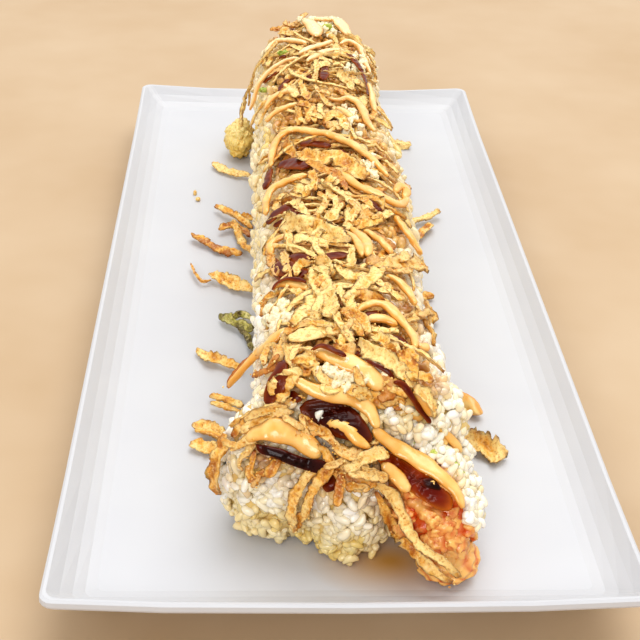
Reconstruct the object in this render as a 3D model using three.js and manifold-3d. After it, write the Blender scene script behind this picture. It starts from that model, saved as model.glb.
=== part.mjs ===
// A sliced sushi roll with rice outside, served on a long white porcelain plate.
// A prawn in batter sticks out of the front end. Fried crisps and a zigzag of mayonnaise lie
// on top, and more crisps have fallen beside the roll.
// Millimetres. X runs across the plate, Y along it with the front at -Y, and Z points up.
// The origin is on the table under the middle of the plate.
import * as THREE from "three";
import { mergeVertices } from "three/addons/utils/BufferGeometryUtils.js";
import Module from "manifold-3d";

const wasm = await Module();
wasm.setup();

// The gap between two nodes that touch, and how far boxes that cut the food reach.
const GAP = 0.3;
const FAR = 150;

const PLATE = {
  width: 114,
  length: 264,
  cornerRadius: 2.6,
  rimHeight: 15,
  cornerRise: 1.4,
  cornerReach: 34,
  edgeThickness: 1.9,
  slopeWidth: 9.5,
  floorTop: 10.4,
  footInset: 16,
  footWidth: 5,
  footRecess: 5,
  footHeight: 4,
};

const ROLL = {
  centreX: 2.5,
  front: -114,
  back: 106,
  sliceCount: 8,
  halfWidth: 20,
  halfHeight: 18.8,
  squareness: 2.6,
  flare: 3.4,
  flareFrom: -90,
  flareLength: 20,
  bump: 0.55,
  edgeRound: 0.9,
  endRound: 7,
  endRoundLength: 9,
};
ROLL.base = PLATE.floorTop + GAP;
ROLL.centreZ = ROLL.base + ROLL.halfHeight * 0.965;
ROLL.sliceLength = (ROLL.back - ROLL.front) / ROLL.sliceCount;

// The two swellings of rice at the front end: centre, and half sizes.
const FRONT_LOBES = [
  { centre: [-12.6, -102, 24], half: [12.2, 10.8, 17.6] },
  { centre: [0.3, -105, 21], half: [10, 12, 18.4] },
];
const FRONT_CORE_END = -109;
// A slice's section: how many points over the top, the lowest of them by degrees from the
// crown, where the flat underside starts, and how many steps the slice has from cut to cut.
const SECTION = { points: 21, lowest: 132, underside: 166, steps: 6 };

// The prawn's centre line, from just past the cut at the back of the first slice to its tail.
const PRAWN = {
  inner: [12.3, ROLL.front + ROLL.sliceLength + 3, 23],
  exit: [13, -103, 25.6],
  shoulder: [14.8, -108.6, 26.6],
  bend: [17.4, -113, 22],
  ankle: [19.2, -116.6, 17],
  radii: [6.4, 7.6, 7, 6.2],
  tailLength: 8,
  finWidths: [6.4, 8.6, 9.4, 9, 6.6],
  finThickness: 3.6,
  lump: 0.55,
  room: 2,
  steps: 8,
  sides: 12,
  seed: 77,
};
const NORI = { thickness: 0.8, inset: 1.5, sides: 20 };

const CRISP = { thickness: 1.2, hangingThickness: 1.6, steps: 4, perSlice: 6, reach: 58, seed: 417 };
const CRISP_WIDTHS = [2.4, 4.4];
const CRISP_LENGTHS = [11, 23];
// Degrees from the crown that one millimetre across the roll takes.
const DEGREES_PER_MM = 2.75;

const DRIZZLE = { width: 3.4, thickness: 2.4, step: 7, sides: 5, sink: 0.5 };
// Each pass of the drizzle over the roll: degrees from the crown (left is negative), and Y.
const DRIZZLE_PASSES = [
  [[-66, -105], [-42, -108], [-24, -110]],
  [[-32, -99], [-8, -106], [14, -109], [40, -110.5]],
  [[-30, -89], [4, -96], [24, -104], [38, -108]],
  [[-62, -77], [-36, -81], [-6, -87]],
  [[-64, -52], [-38, -59], [0, -70], [26, -74], [38, -85]],
  [[-52, -37], [-10, -41], [30, -50], [56, -48]],
  [[-66, -15], [-40, -8], [-10, -9], [26, -21], [54, -19]],
  [[54, -12], [28, -1], [2, 12], [-26, 21], [-50, 21], [-62, 12]],
  [[-62, 38], [-24, 42], [14, 38], [44, 30]],
  [[-58, 48], [-22, 54], [16, 50], [46, 46]],
  [[-66, 72], [-30, 77], [6, 80], [34, 78], [46, 62]],
  [[-56, 90], [-12, 96], [30, 97]],
];

// Crisps on the roll placed by hand: start and end as [degrees from the crown, Y, lift], and width.
const PLACED_CRISPS = [
  { from: [-50, -104, 1.6], to: [-12, -97, 2.6], width: 3.6, bow: 1.4 },
  { from: [-10, -102, 2.8], to: [16, -107, 2.2], width: 4, bow: 0.6 },
  { from: [2, -93, 2], to: [26, -85, 1.6], width: 3.4, bow: 1.2 },
  { from: [-34, -81, 2.4], to: [-6, -77, 2.4], width: 7, bow: 0.8 },
  { from: [-20, -63, 2], to: [-26, -79, 2.6], width: 4.2, bow: 1.2 },
];

// Crisps that hang down the roll: number of the slice, points in millimetres, width, and the
// way that the flat side faces.
const HANGING_CRISPS = [
  {
    slice: 1,
    points: [[-20.4, -106, 37], [-23.6, -108.4, 33], [-24.4, -110.4, 25.4]],
    width: 4.4,
    faces: [-0.4, -1, 0.35],
  },
  {
    slice: 1,
    points: [[-5.4, -107, 39], [-6, -112.5, 35.4], [-7, -115.8, 29], [-9.5, -115.6, 19]],
    width: 2.8,
    faces: [0, -1, 0.35],
  },
  {
    slice: 2,
    points: [[-8, -84, 46.4], [-13.6, -82, 44], [-18.6, -78.6, 38], [-21, -75.4, 30.6], [-23.4, -72, 23]],
    width: 3.2,
    faces: [-1, -0.3, 0.5],
  },
  {
    slice: 8,
    points: [[-14, 94, 42], [-19.6, 95, 32], [-20.8, 95.4, 24], [-22.6, 95, 17]],
    width: 2.8,
    faces: [-1, -0.3, 0.4],
  },
];
// A crisp that lies along the prawn down to its tail.
const PRAWN_CRISP = {
  points: [[7.4, -114, 30], [9, -116.2, 26.5], [12, -119, 20], [16, -121.4, 14.6], [21, -123, 12.2]],
  width: 2.8,
  faces: [0, -1, 0.35],
};

// Crisps that lie on the plate beside the roll: ends in X and Y, width, and rise in the middle.
const FALLEN_CRISPS = [
  { name: "fallen_crisp_left_1", from: [-30, 73], to: [-19.6, 64], width: 3.2, bow: 1.2 },
  { name: "fallen_crisp_left_2", from: [-30, 41.5], to: [-20.2, 31], width: 3.6, bow: 2.4 },
  { name: "fallen_crisp_left_3", from: [-35, 22], to: [-20, 11], width: 4.8, bow: 1.8 },
  { name: "fallen_crisp_left_4", from: [-35, 3], to: [-19.6, -7.5], width: 3.6, bow: 1.6 },
  { name: "fallen_crisp_left_5", from: [-27.5, -21], to: [-20.4, -35], width: 5.2, bow: 2.6 },
  { name: "fallen_crisp_left_6", from: [-32, -38], to: [-20, -48], width: 3.2, bow: 1 },
  { name: "fallen_crisp_left_7", from: [-28.5, -57], to: [-20.4, -63.5], width: 4.6, bow: 1.2 },
  { name: "fallen_crisp_left_8", from: [-32, -68], to: [-22.4, -72], width: 3.6, bow: 1.6 },
  { name: "fallen_crisp_left_9", from: [-31.5, -76], to: [-24, -79.5], width: 3.6, bow: 1 },
  { name: "fallen_crisp_right_1", from: [34, 91], to: [25.2, 93], width: 3.6, bow: 1 },
  { name: "fallen_crisp_right_2", from: [37.5, 40], to: [26, 34.5], width: 3, bow: 1.6 },
  { name: "fallen_crisp_right_3", from: [34, 32], to: [27, 18], width: 2.8, bow: 0.8 },
  { name: "fallen_crisp_right_4", from: [29.4, -21], to: [26.2, -12], width: 3.4, bow: 0.8 },
  { name: "fallen_crisp_right_5", from: [35.5, -65], to: [26.6, -56], width: 6, bow: 2.4 },
  { name: "fallen_crisp_right_6", from: [39.5, -82.5], to: [28.4, -75], width: 7.6, bow: 1 },
];
const BATTER_LUMP = { name: "fallen_batter_lump", centre: [-22.6, 84], half: [4.4, 7.4, 6.6] };
const SAUCE_BLOB = { name: "fallen_mayonnaise_blob", centre: [27.4, 50], half: [3.4, 5.2, 3.2] };

const COLOURS = {
  porcelain: 0xf4f4f5,
  rice: 0xeee9dd,
  prawn: 0xe8935a,
  nori: 0x20241c,
  crisp: 0xd9a653,
  batter: 0xe2bd68,
  mayonnaise: 0xf3c484,
};

// Random numbers from 0 to 1 that come out the same on every run.
function seededRandom(seed) {
  let state = seed >>> 0;
  return () => {
    state = (Math.imul(state, 1664525) + 1013904223) >>> 0;
    return state / 4294967296;
  };
}

function mix(a, b, share) {
  return a + (b - a) * share;
}

function smooth(share) {
  const t = Math.min(1, Math.max(0, share));
  return t * t * (3 - 2 * t);
}

// Six times the volume that the triangles close, negative where they face inwards.
function facing(positions, index) {
  const [a, b, c] = [new THREE.Vector3(), new THREE.Vector3(), new THREE.Vector3()];
  let sum = 0;
  for (let i = 0; i < index.length; i += 3) {
    a.fromArray(positions, index[i] * 3);
    b.fromArray(positions, index[i + 1] * 3);
    c.fromArray(positions, index[i + 2] * 3);
    sum += a.dot(b.cross(c));
  }
  return sum;
}

function middleOf(points) {
  return points.reduce((sum, p) => sum.add(p), new THREE.Vector3()).divideScalar(points.length);
}

// One closed body through rings with equal numbers of points. Its ends are fans, or, where it
// is looped, the last ring joins the first.
function loft(rings, looped = false) {
  const count = rings[0].length;
  const points = [...rings.flat(), middleOf(rings[0]), middleOf(rings.at(-1))];
  const positions = points.flatMap((p) => [p.x, p.y, p.z]);
  const index = [];
  const firstHub = points.length - 2;
  const lastHub = points.length - 1;
  const lastRing = (rings.length - 1) * count;
  for (let i = 0; i < count; i++) {
    const next = (i + 1) % count;
    for (let r = 0; r < rings.length - (looped ? 0 : 1); r++) {
      const [a, b] = [r * count + i, r * count + next];
      const step = r < rings.length - 1 ? count : -lastRing;
      index.push(a, b, a + step, b, b + step, a + step);
    }
    if (looped) continue;
    index.push(firstHub, next, i);
    index.push(lastHub, lastRing + i, lastRing + next);
  }
  if (facing(positions, index) < 0) index.reverse();
  const geometry = new THREE.BufferGeometry();
  geometry.setAttribute("position", new THREE.Float32BufferAttribute(positions, 3));
  geometry.setIndex(index);
  return geometry;
}

function solidOf(geometry) {
  const bare = geometry.clone();
  bare.deleteAttribute("normal");
  bare.deleteAttribute("uv");
  const merged = mergeVertices(bare, 1e-4);
  return new wasm.Manifold(
    new wasm.Mesh({
      numProp: 3,
      vertProperties: new Float32Array(merged.attributes.position.array),
      triVerts: new Uint32Array(merged.index.array),
    }),
  );
}

function geometryOf(solid) {
  const mesh = solid.getMesh();
  const geometry = new THREE.BufferGeometry();
  geometry.setAttribute("position", new THREE.Float32BufferAttribute(mesh.vertProperties, 3));
  geometry.setIndex(new THREE.BufferAttribute(mesh.triVerts, 1));
  return geometry;
}

// The largest body of a solid, without the scraps that a cut leaves loose.
function largestBody(solid) {
  return solid.decompose().reduce((best, body) => (body.volume() > best.volume() ? body : best));
}

// All the room above the plate's floor, from one Y to another.
function aboveTheFloor(low, high) {
  const room = new THREE.BoxGeometry(2 * FAR, high - low, FAR);
  return solidOf(room.translate(0, (low + high) / 2, ROLL.base + FAR / 2));
}

// An egg shape with uneven skin.
function lumpyEgg(centre, half, lump, seed) {
  const random = seededRandom(seed);
  const geometry = new THREE.IcosahedronGeometry(1, 2);
  geometry.deleteAttribute("normal");
  geometry.deleteAttribute("uv");
  const merged = mergeVertices(geometry, 1e-4);
  const at = merged.attributes.position;
  for (let i = 0; i < at.count; i++) {
    const swell = 1 + (random() - 0.5) * lump;
    at.setXYZ(
      i,
      centre[0] + at.getX(i) * half[0] * swell,
      centre[1] + at.getY(i) * half[1] * swell,
      centre[2] + at.getZ(i) * half[2] * swell,
    );
  }
  return solidOf(merged);
}

// A body swept along points: each ring is an ellipse or, with four sides, a flat strip.
function sweep(points, upAt, widthAt, thicknessAt, sides) {
  const rings = points.map((point, i) => {
    const ahead = points[Math.min(i + 1, points.length - 1)];
    const behind = points[Math.max(i - 1, 0)];
    const along = ahead.clone().sub(behind).normalize();
    const across = along.clone().cross(upAt(i)).normalize();
    const up = across.clone().cross(along).normalize();
    const turn = sides === 4 ? Math.PI / 4 : 0;
    const spread = sides === 4 ? Math.SQRT1_2 : 0.5;
    return Array.from({ length: sides }, (_, k) => {
      const angle = turn + (k / sides) * 2 * Math.PI;
      return point
        .clone()
        .addScaledVector(across, Math.cos(angle) * spread * widthAt(i))
        .addScaledVector(up, Math.sin(angle) * spread * thicknessAt(i));
    });
  });
  return loft(rings);
}

// The plate

// A rectangle with round corners, inset from the plate's outline, as a ring of points at one height.
function plateRing(inset, height, rise) {
  const halfX = PLATE.width / 2 - inset;
  const halfY = PLATE.length / 2 - inset;
  const radius = Math.max(1, PLATE.cornerRadius - inset * 0.1);
  const cornerSteps = 4;
  const longSteps = [-0.86, -0.7, -0.4, 0, 0.4, 0.7, 0.86];
  const shortSteps = [-0.6, 0, 0.6];
  const outline = [];
  const quarters = [[1, -1], [1, 1], [-1, 1], [-1, -1]];
  quarters.forEach(([sx, sy], q) => {
    for (let i = 0; i <= cornerSteps; i++) {
      const angle = ((q - 1 + i / cornerSteps) * Math.PI) / 2;
      outline.push([
        sx * (halfX - radius) + radius * Math.cos(angle),
        sy * (halfY - radius) + radius * Math.sin(angle),
      ]);
    }
    const steps = q % 2 === 0 ? longSteps : shortSteps;
    for (const step of steps) {
      if (q === 0) outline.push([halfX, step * halfY]);
      if (q === 1) outline.push([-step * halfX, halfY]);
      if (q === 2) outline.push([-halfX, -step * halfY]);
      if (q === 3) outline.push([step * halfX, -halfY]);
    }
  });
  return outline.map(([x, y]) => {
    const fromCorner = Math.hypot(PLATE.width / 2 - Math.abs(x), PLATE.length / 2 - Math.abs(y));
    const lifted = rise * PLATE.cornerRise * smooth(1 - fromCorner / PLATE.cornerReach);
    return new THREE.Vector3(x, y, height + lifted);
  });
}

function makePlate() {
  const edgeLow = PLATE.rimHeight - PLATE.edgeThickness;
  const depth = PLATE.rimHeight - PLATE.floorTop;
  const underside = [
    plateRing(PLATE.footInset + PLATE.footWidth + 1, PLATE.footRecess, 0),
    plateRing(PLATE.footInset + PLATE.footWidth, 0, 0),
    plateRing(PLATE.footInset, 0, 0),
    plateRing(PLATE.footInset - 1.2, PLATE.footHeight, 0),
    plateRing(1, edgeLow - 0.4, 1),
  ];
  const edge = [
    plateRing(0.2, edgeLow, 1),
    plateRing(0, edgeLow + 0.5, 1),
    plateRing(0.1, PLATE.rimHeight - 0.4, 1),
    plateRing(0.6, PLATE.rimHeight, 1),
    plateRing(1.2, PLATE.rimHeight - 0.1, 1),
  ];
  // The inner slope is hollow, steep near the edge and level where it meets the floor.
  const slope = [0.25, 0.5, 0.75, 1].map((share) => {
    const left = (1 - share) ** 1.8;
    const inset = mix(1.2, PLATE.slopeWidth, share);
    return plateRing(inset, PLATE.floorTop + (depth - 0.1) * left, left);
  });
  return loft([...underside, ...edge, ...slope]);
}

// The roll

function halfWidthAt(y) {
  return ROLL.halfWidth + ROLL.flare * smooth((ROLL.flareFrom - y) / ROLL.flareLength);
}

// A point on the roll's skin, by degrees from the crown, with a lift off the skin.
function skinPoint(degrees, y, lift = 0) {
  const angle = THREE.MathUtils.degToRad(degrees);
  const power = 2 / ROLL.squareness;
  const part = (value) => Math.sign(value) * Math.abs(value) ** power;
  const x = ROLL.centreX + (halfWidthAt(y) + lift) * part(Math.sin(angle));
  const z = ROLL.centreZ + (ROLL.halfHeight + lift) * part(Math.cos(angle));
  return new THREE.Vector3(x, y, Math.max(z, ROLL.base));
}

// The way out of the skin at a point on it.
function skinNormal(point) {
  const power = ROLL.squareness - 1;
  const pull = (value, half) => (Math.sign(value) * Math.abs(value / half) ** power) / half;
  return new THREE.Vector3(
    pull(point.x - ROLL.centreX, halfWidthAt(point.y)),
    0,
    pull(point.z - ROLL.centreZ, ROLL.halfHeight),
  ).normalize();
}

// How far the roll's two ends are drawn in, so that they are round.
function endRounding(y) {
  const fromFront = smooth(1 - (y - FRONT_CORE_END) / ROLL.endRoundLength);
  const fromBack = smooth(1 - (ROLL.back - y) / ROLL.endRoundLength);
  return ROLL.endRound * (fromFront ** 2 + fromBack ** 2);
}

// One slice's body of rice, with bumps the size of grains.
function riceCore(low, high, seed) {
  const random = seededRandom(seed);
  const top = Array.from({ length: SECTION.points }, (_, i) =>
    mix(-SECTION.lowest, SECTION.lowest, i / (SECTION.points - 1)),
  );
  const degrees = [...top, SECTION.underside, -SECTION.underside];
  const rings = [];
  for (let r = 0; r <= SECTION.steps; r++) {
    const y = mix(low, high, r / SECTION.steps);
    const groove = r === 0 || r === SECTION.steps ? ROLL.edgeRound : 0;
    rings.push(
      degrees.map((angle) => {
        if (Math.abs(angle) > SECTION.lowest) return skinPoint(angle, y, -endRounding(y));
        return skinPoint(angle, y, (random() - 0.5) * 2 * ROLL.bump - groove - endRounding(y));
      }),
    );
  }
  return solidOf(loft(rings));
}

// The rice of the first slice: its core and the two swellings in front of it.
function frontRice(high, seed) {
  let rice = riceCore(FRONT_CORE_END, high, seed);
  FRONT_LOBES.forEach((lobe, i) => {
    rice = rice.add(lumpyEgg(lobe.centre, lobe.half, 0.12, seed + i + 1));
  });
  return rice.intersect(aboveTheFloor(-FAR, FAR));
}

// The roll's crisps

// A crisp laid over the roll, from one skin point to another.
function crispOnRoll({ from, to, width, bow }) {
  const points = [];
  const ups = [];
  for (let i = 0; i <= CRISP.steps; i++) {
    const share = i / CRISP.steps;
    const lift = mix(from[2], to[2], share) + bow * Math.sin(share * Math.PI);
    const point = skinPoint(mix(from[0], to[0], share), mix(from[1], to[1], share), lift);
    points.push(point);
    ups.push(skinNormal(point));
  }
  const taper = (i) => 1 - 0.45 * Math.abs((2 * i) / CRISP.steps - 1) ** 3;
  return solidOf(
    sweep(
      points,
      (i) => ups[i],
      (i) => width * taper(i),
      () => CRISP.thickness,
      4,
    ),
  );
}

// Crisps spread over one slice by a rule: ends or middle sunk in the rice, the rest clear of it.
function scatteredCrisps(low, high, seed) {
  const random = seededRandom(seed);
  const crisps = [];
  for (let i = 0; i < CRISP.perSlice; i++) {
    const angle = mix(-CRISP.reach, CRISP.reach, (i + random()) / CRISP.perSlice);
    const y = mix(low, high, random());
    const heading = random() * Math.PI;
    const length = mix(CRISP_LENGTHS[0], CRISP_LENGTHS[1], random());
    const across = (Math.cos(heading) * length * DEGREES_PER_MM) / 2;
    const along = (Math.sin(heading) * length) / 2;
    const arched = random() < 0.6;
    const rise = mix(0.8, 2.6, random());
    const lift = arched ? 0.2 : rise + 0.4;
    crisps.push(
      crispOnRoll({
        from: [angle - across, y - along, lift],
        to: [angle + across, y + along, lift],
        width: mix(CRISP_WIDTHS[0], CRISP_WIDTHS[1], random()),
        bow: arched ? rise : -rise,
      }),
    );
  }
  return crisps;
}

// A crisp that hangs along a curve, grown all round by extra.
function hangingCrisp({ points, width, faces }, extra = 0) {
  const curve = new THREE.CatmullRomCurve3(points.map((p) => new THREE.Vector3(...p)));
  const steps = 7;
  const out = new THREE.Vector3(...faces);
  return solidOf(
    sweep(
      curve.getPoints(steps),
      () => out,
      (i) => width * (1 - 0.4 * smooth(i / steps)) + 2 * extra,
      () => CRISP.hangingThickness + 2 * extra,
      4,
    ),
  );
}

// The mayonnaise

// One pass of mayonnaise over the roll, as a rounded band sunk a little in what it lies on.
function drizzlePass(stops) {
  const route = new THREE.CatmullRomCurve3(
    stops.map(([degrees, y]) => new THREE.Vector3(degrees / DEGREES_PER_MM, y, 0)),
  );
  const count = Math.max(3, Math.round(route.getLength() / DRIZZLE.step));
  const points = route.getSpacedPoints(count).map((stop) =>
    skinPoint(stop.x * DEGREES_PER_MM, stop.y, DRIZZLE.thickness / 2 - DRIZZLE.sink),
  );
  const round = (i) => (i === 0 || i === count ? 0.55 : 1);
  return solidOf(
    sweep(
      points,
      (i) => skinNormal(points[i]),
      (i) => DRIZZLE.width * round(i),
      (i) => DRIZZLE.thickness * round(i),
      DRIZZLE.sides,
    ),
  );
}

// The prawn

// The prawn's centre line: straight inside the rice, then bent down to the tail. Each stop
// holds a point and the body's radius there.
function prawnStops() {
  const outside = [PRAWN.exit, PRAWN.shoulder, PRAWN.bend, PRAWN.ankle];
  const curve = new THREE.CatmullRomCurve3(outside.map((p) => new THREE.Vector3(...p)));
  const stops = [{ point: new THREE.Vector3(...PRAWN.inner), radius: PRAWN.radii[0] }];
  for (let i = 0; i <= PRAWN.steps; i++) {
    const along = (i / PRAWN.steps) * (outside.length - 1);
    const first = Math.min(Math.floor(along), outside.length - 2);
    const radius = mix(PRAWN.radii[first], PRAWN.radii[first + 1], along - first);
    stops.push({ point: curve.getPoint(i / PRAWN.steps), radius });
  }
  return stops;
}

// The prawn's body as a swept tube, with its radius grown all round by extra.
function prawnTube(extra, lump) {
  const stops = prawnStops();
  const random = seededRandom(PRAWN.seed);
  const rings = stops.map(({ point, radius }, i) => {
    const ahead = stops[Math.min(i + 1, stops.length - 1)].point;
    const behind = stops[Math.max(i - 1, 0)].point;
    const along = ahead.clone().sub(behind).normalize();
    const across = along.clone().cross(new THREE.Vector3(0, 0, 1)).normalize();
    const up = across.clone().cross(along).normalize();
    return Array.from({ length: PRAWN.sides }, (_, k) => {
      const angle = (k / PRAWN.sides) * 2 * Math.PI;
      const rough = i > 1 ? (random() - 0.5) * 2 * lump : 0;
      return point
        .clone()
        .addScaledVector(across, Math.cos(angle) * (radius + extra + rough))
        .addScaledVector(up, Math.sin(angle) * (radius + extra + rough));
    });
  });
  return solidOf(loft(rings));
}

// One fin of the tail: a flat leaf from the ankle outwards.
function tailFin(sideways, turn) {
  const root = new THREE.Vector3(...PRAWN.ankle);
  const aim = new THREE.Vector3(sideways, -0.6, -0.7).normalize();
  const last = PRAWN.finWidths.length - 1;
  const points = PRAWN.finWidths.map((_, i) =>
    root.clone().addScaledVector(aim, (i / last) * PRAWN.tailLength - 1),
  );
  const up = new THREE.Vector3(turn, -0.7, 0.6);
  return solidOf(
    sweep(
      points,
      () => up,
      (i) => PRAWN.finWidths[i],
      () => PRAWN.finThickness,
      6,
    ),
  );
}

function makePrawn(cut) {
  return largestBody(
    prawnTube(0, PRAWN.lump)
      .add(tailFin(0.5, 0.3))
      .add(tailFin(-0.06, -0.3))
      .add(hangingCrisp(PRAWN_CRISP))
      .intersect(aboveTheFloor(-FAR, cut - GAP / 2)),
  );
}

// An upright ring round the prawn's straight stretch inside the first slice.
function ringRoundPrawn(y, radius) {
  const share = (y - PRAWN.inner[1]) / (PRAWN.exit[1] - PRAWN.inner[1]);
  const x = mix(PRAWN.inner[0], PRAWN.exit[0], share);
  const z = mix(PRAWN.inner[2], PRAWN.exit[2], share);
  return Array.from({ length: NORI.sides }, (_, k) => {
    const angle = (k / NORI.sides) * 2 * Math.PI;
    return new THREE.Vector3(x + Math.cos(angle) * radius, y, z + Math.sin(angle) * radius);
  });
}

// The sheet of nori round the prawn inside the first slice.
function makeNori(cut) {
  const ends = [cut - GAP / 2, PRAWN.exit[1] + NORI.inset];
  const inner = PRAWN.radii[0] + GAP;
  const outer = inner + NORI.thickness;
  const rings = [
    ringRoundPrawn(ends[0], outer),
    ringRoundPrawn(ends[1], outer),
    ringRoundPrawn(ends[1], inner),
    ringRoundPrawn(ends[0], inner),
  ];
  return loft(rings, true);
}

// What the first slice leaves free for the prawn and its nori.
function prawnRoom(cut) {
  const radius = PRAWN.radii[0] + NORI.thickness + 2 * GAP;
  const ends = [cut + GAP, PRAWN.exit[1] + NORI.inset - GAP];
  const bore = solidOf(loft(ends.map((y) => ringRoundPrawn(y, radius))));
  return bore.add(prawnTube(PRAWN.room, 0)).add(hangingCrisp(PRAWN_CRISP, 2 * GAP));
}

// The pieces beside the roll

function fallenCrisp({ from, to, width, bow }) {
  const steps = 6;
  const rest = ROLL.base + CRISP.thickness / 2;
  const points = Array.from({ length: steps + 1 }, (_, i) => {
    const share = i / steps;
    const rise = Math.max(0, bow * Math.sin(share * Math.PI * 1.15));
    return new THREE.Vector3(mix(from[0], to[0], share), mix(from[1], to[1], share), rest + rise);
  });
  const up = new THREE.Vector3(0, 0, 1);
  return sweep(
    points,
    () => up,
    (i) => width * (1 - 0.4 * Math.abs((2 * i) / steps - 1) ** 3),
    () => CRISP.thickness,
    4,
  );
}

function restingEgg({ centre, half }, seed) {
  const middle = ROLL.base + half[2] * 0.72;
  const egg = lumpyEgg([...centre, middle], half, 0.3, seed);
  return egg.intersect(aboveTheFloor(-FAR, FAR));
}

// Everything together

function makeSlice(number) {
  const low = ROLL.front + number * ROLL.sliceLength + GAP / 2;
  const high = low + ROLL.sliceLength - GAP;
  const isFront = number === 0;
  const seed = 100 + number * 10;
  let body = isFront ? frontRice(high, seed) : riceCore(low, high, seed);
  const toppings = scatteredCrisps(Math.max(low, FRONT_CORE_END), high, CRISP.seed + number);
  toppings.push(...PLACED_CRISPS.map(crispOnRoll));
  toppings.push(...DRIZZLE_PASSES.map(drizzlePass));
  const hanging = HANGING_CRISPS.filter((crisp) => crisp.slice === number + 1);
  toppings.push(...hanging.map((crisp) => hangingCrisp(crisp)));
  const slab = aboveTheFloor(isFront ? -FAR : low, high);
  for (const topping of toppings) {
    const inside = topping.intersect(slab);
    if (!inside.isEmpty()) body = body.add(inside);
  }
  if (isFront) body = body.subtract(prawnRoom(high));
  return largestBody(body);
}

function named(name, geometry, colour, roughness) {
  const material = new THREE.MeshStandardMaterial({ color: colour, roughness, metalness: 0 });
  const mesh = new THREE.Mesh(geometry, material);
  mesh.name = name;
  return mesh;
}

const sushi = new THREE.Group();
sushi.add(named("plate", makePlate(), COLOURS.porcelain, 0.12));
for (let number = 0; number < ROLL.sliceCount; number++) {
  const geometry = geometryOf(makeSlice(number));
  sushi.add(named("slice_" + (number + 1), geometry, COLOURS.rice, 0.5));
}
const firstCut = ROLL.front + ROLL.sliceLength;
sushi.add(named("prawn_in_batter", geometryOf(makePrawn(firstCut)), COLOURS.prawn, 0.4));
sushi.add(named("nori_sheet", makeNori(firstCut), COLOURS.nori, 0.6));
for (const crisp of FALLEN_CRISPS) {
  sushi.add(named(crisp.name, fallenCrisp(crisp), COLOURS.crisp, 0.6));
}
sushi.add(named(BATTER_LUMP.name, geometryOf(restingEgg(BATTER_LUMP, 31)), COLOURS.batter, 0.6));
sushi.add(named(SAUCE_BLOB.name, geometryOf(restingEgg(SAUCE_BLOB, 32)), COLOURS.mayonnaise, 0.3));

export default sushi;
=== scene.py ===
# The looks of a sliced sushi roll on its long plate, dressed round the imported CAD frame.
# Places and sizes are in millimetres, as in the CAD: X across the plate, Y along it, Z up.
# A mesh is turned into metres when it is made. The sizes and places that only one section needs stand
# at its start: rice, crisps, sauces, prawn, the pieces beside the roll, materials, camera and light.
import functools
import math

import bpy
import numpy as np
from mathutils import Matrix
from mathutils.kdtree import KDTree


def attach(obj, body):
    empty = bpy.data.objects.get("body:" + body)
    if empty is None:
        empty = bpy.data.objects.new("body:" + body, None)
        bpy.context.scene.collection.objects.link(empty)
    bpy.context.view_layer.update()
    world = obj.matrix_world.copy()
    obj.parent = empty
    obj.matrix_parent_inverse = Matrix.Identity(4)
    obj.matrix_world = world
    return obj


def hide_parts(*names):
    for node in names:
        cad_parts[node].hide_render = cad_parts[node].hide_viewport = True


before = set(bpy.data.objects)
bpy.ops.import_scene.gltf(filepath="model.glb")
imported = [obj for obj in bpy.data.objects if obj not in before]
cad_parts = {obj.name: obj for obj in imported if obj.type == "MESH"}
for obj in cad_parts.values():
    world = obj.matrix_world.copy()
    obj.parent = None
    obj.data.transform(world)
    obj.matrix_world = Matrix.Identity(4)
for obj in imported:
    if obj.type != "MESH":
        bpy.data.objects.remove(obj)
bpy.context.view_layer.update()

MM = 0.001

# The roll, as in the CAD: where it stands, its middle, its half sizes, and how square its section is.
BASE = 10.7
ROLL_X, ROLL_Z = 2.5, 28.84
HALF_WIDTH, HALF_HEIGHT = 20.0, 18.8
SQUARENESS = 2.6
# The two ends of its rice, its first cut, and its slices.
CORE_FRONT, BACK = -109.0, 106.0
FIRST_CUT, SLICE_LENGTH, SLICES = -86.5, 27.5, 8
# How far the front and the back end are rounded, over that length.
FRONT_ROUND, BACK_ROUND, END_LENGTH = 7.0, 3.5, 9.0
# How far the roll widens towards the front: from which Y, and over what length.
FLARE, FLARE_FROM, FLARE_LENGTH = 3.4, -90.0, 20.0
# Where its right side is drawn in: by how much, at which Y, and over what length.
WAISTS = [(2.4, 62.0, 26.0), (2.4, -62.0, 22.0)]
# The degrees from the crown where it meets the plate, and the degrees for each millimetre at the crown.
SKIN_EDGE, DEGREES_PER_MM = 131.0, 2.75
# The middle of the front end. Toppings in front of a Y turn towards it, over that length.
HEART = (-2.0, -98.0, 24.0)
HEART_FROM, HEART_LENGTH = -104.0, 8.0
# The height of the highest topping, and how far under it the middle of a line has to stay.
TOP, TOP_MARGIN = 51.9, 0.8
# How far in front of the roll's back end a point that is placed by a pixel stays.
BACK_MARGIN = 7.0

# The two swellings of rice at the front end: centre, and half sizes.
LOBES = [
    ((-12.6, -102, 24), (12.2, 10.8, 17.6)),
    ((0.3, -105, 21), (10, 12, 18.4)),
]
# The prawn's centre line from the rice to its tail, and its radius at each point.
PRAWN_LINE = [(11.4, -96, 24), (12, -103, 25), (14.2, -108.6, 26), (17.2, -113, 22), (19.2, -116.6, 17)]
PRAWN_RADII = [5.8, 6.4, 6.8, 6.8, 6.2]

# The camera. Its lens and shift were chosen, and its place and angles fitted to the plate's rim in the
# photograph, which is 640 by 640 pixels. The rim's front right corner lies just outside it.
EYE = np.array([-18.7, -313.5, 182.7])
YAW, PITCH, ROLL = np.radians([2.89, 30.47, 1.77])
LENS, SENSOR, SHIFT = 74.53, 36.0, 0.01875
PIXELS = 640
# The distances from the camera at which the food is looked for: first, last and step.
REACH = (200, 560, 0.5)
# A point that is this much farther than the one beside it has missed the food.
MISS = 9

# Smooth random values are a sum of this many waves, whose usual height this is.
WAVES, WAVES_HEIGHT = 6, 2.4
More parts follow.
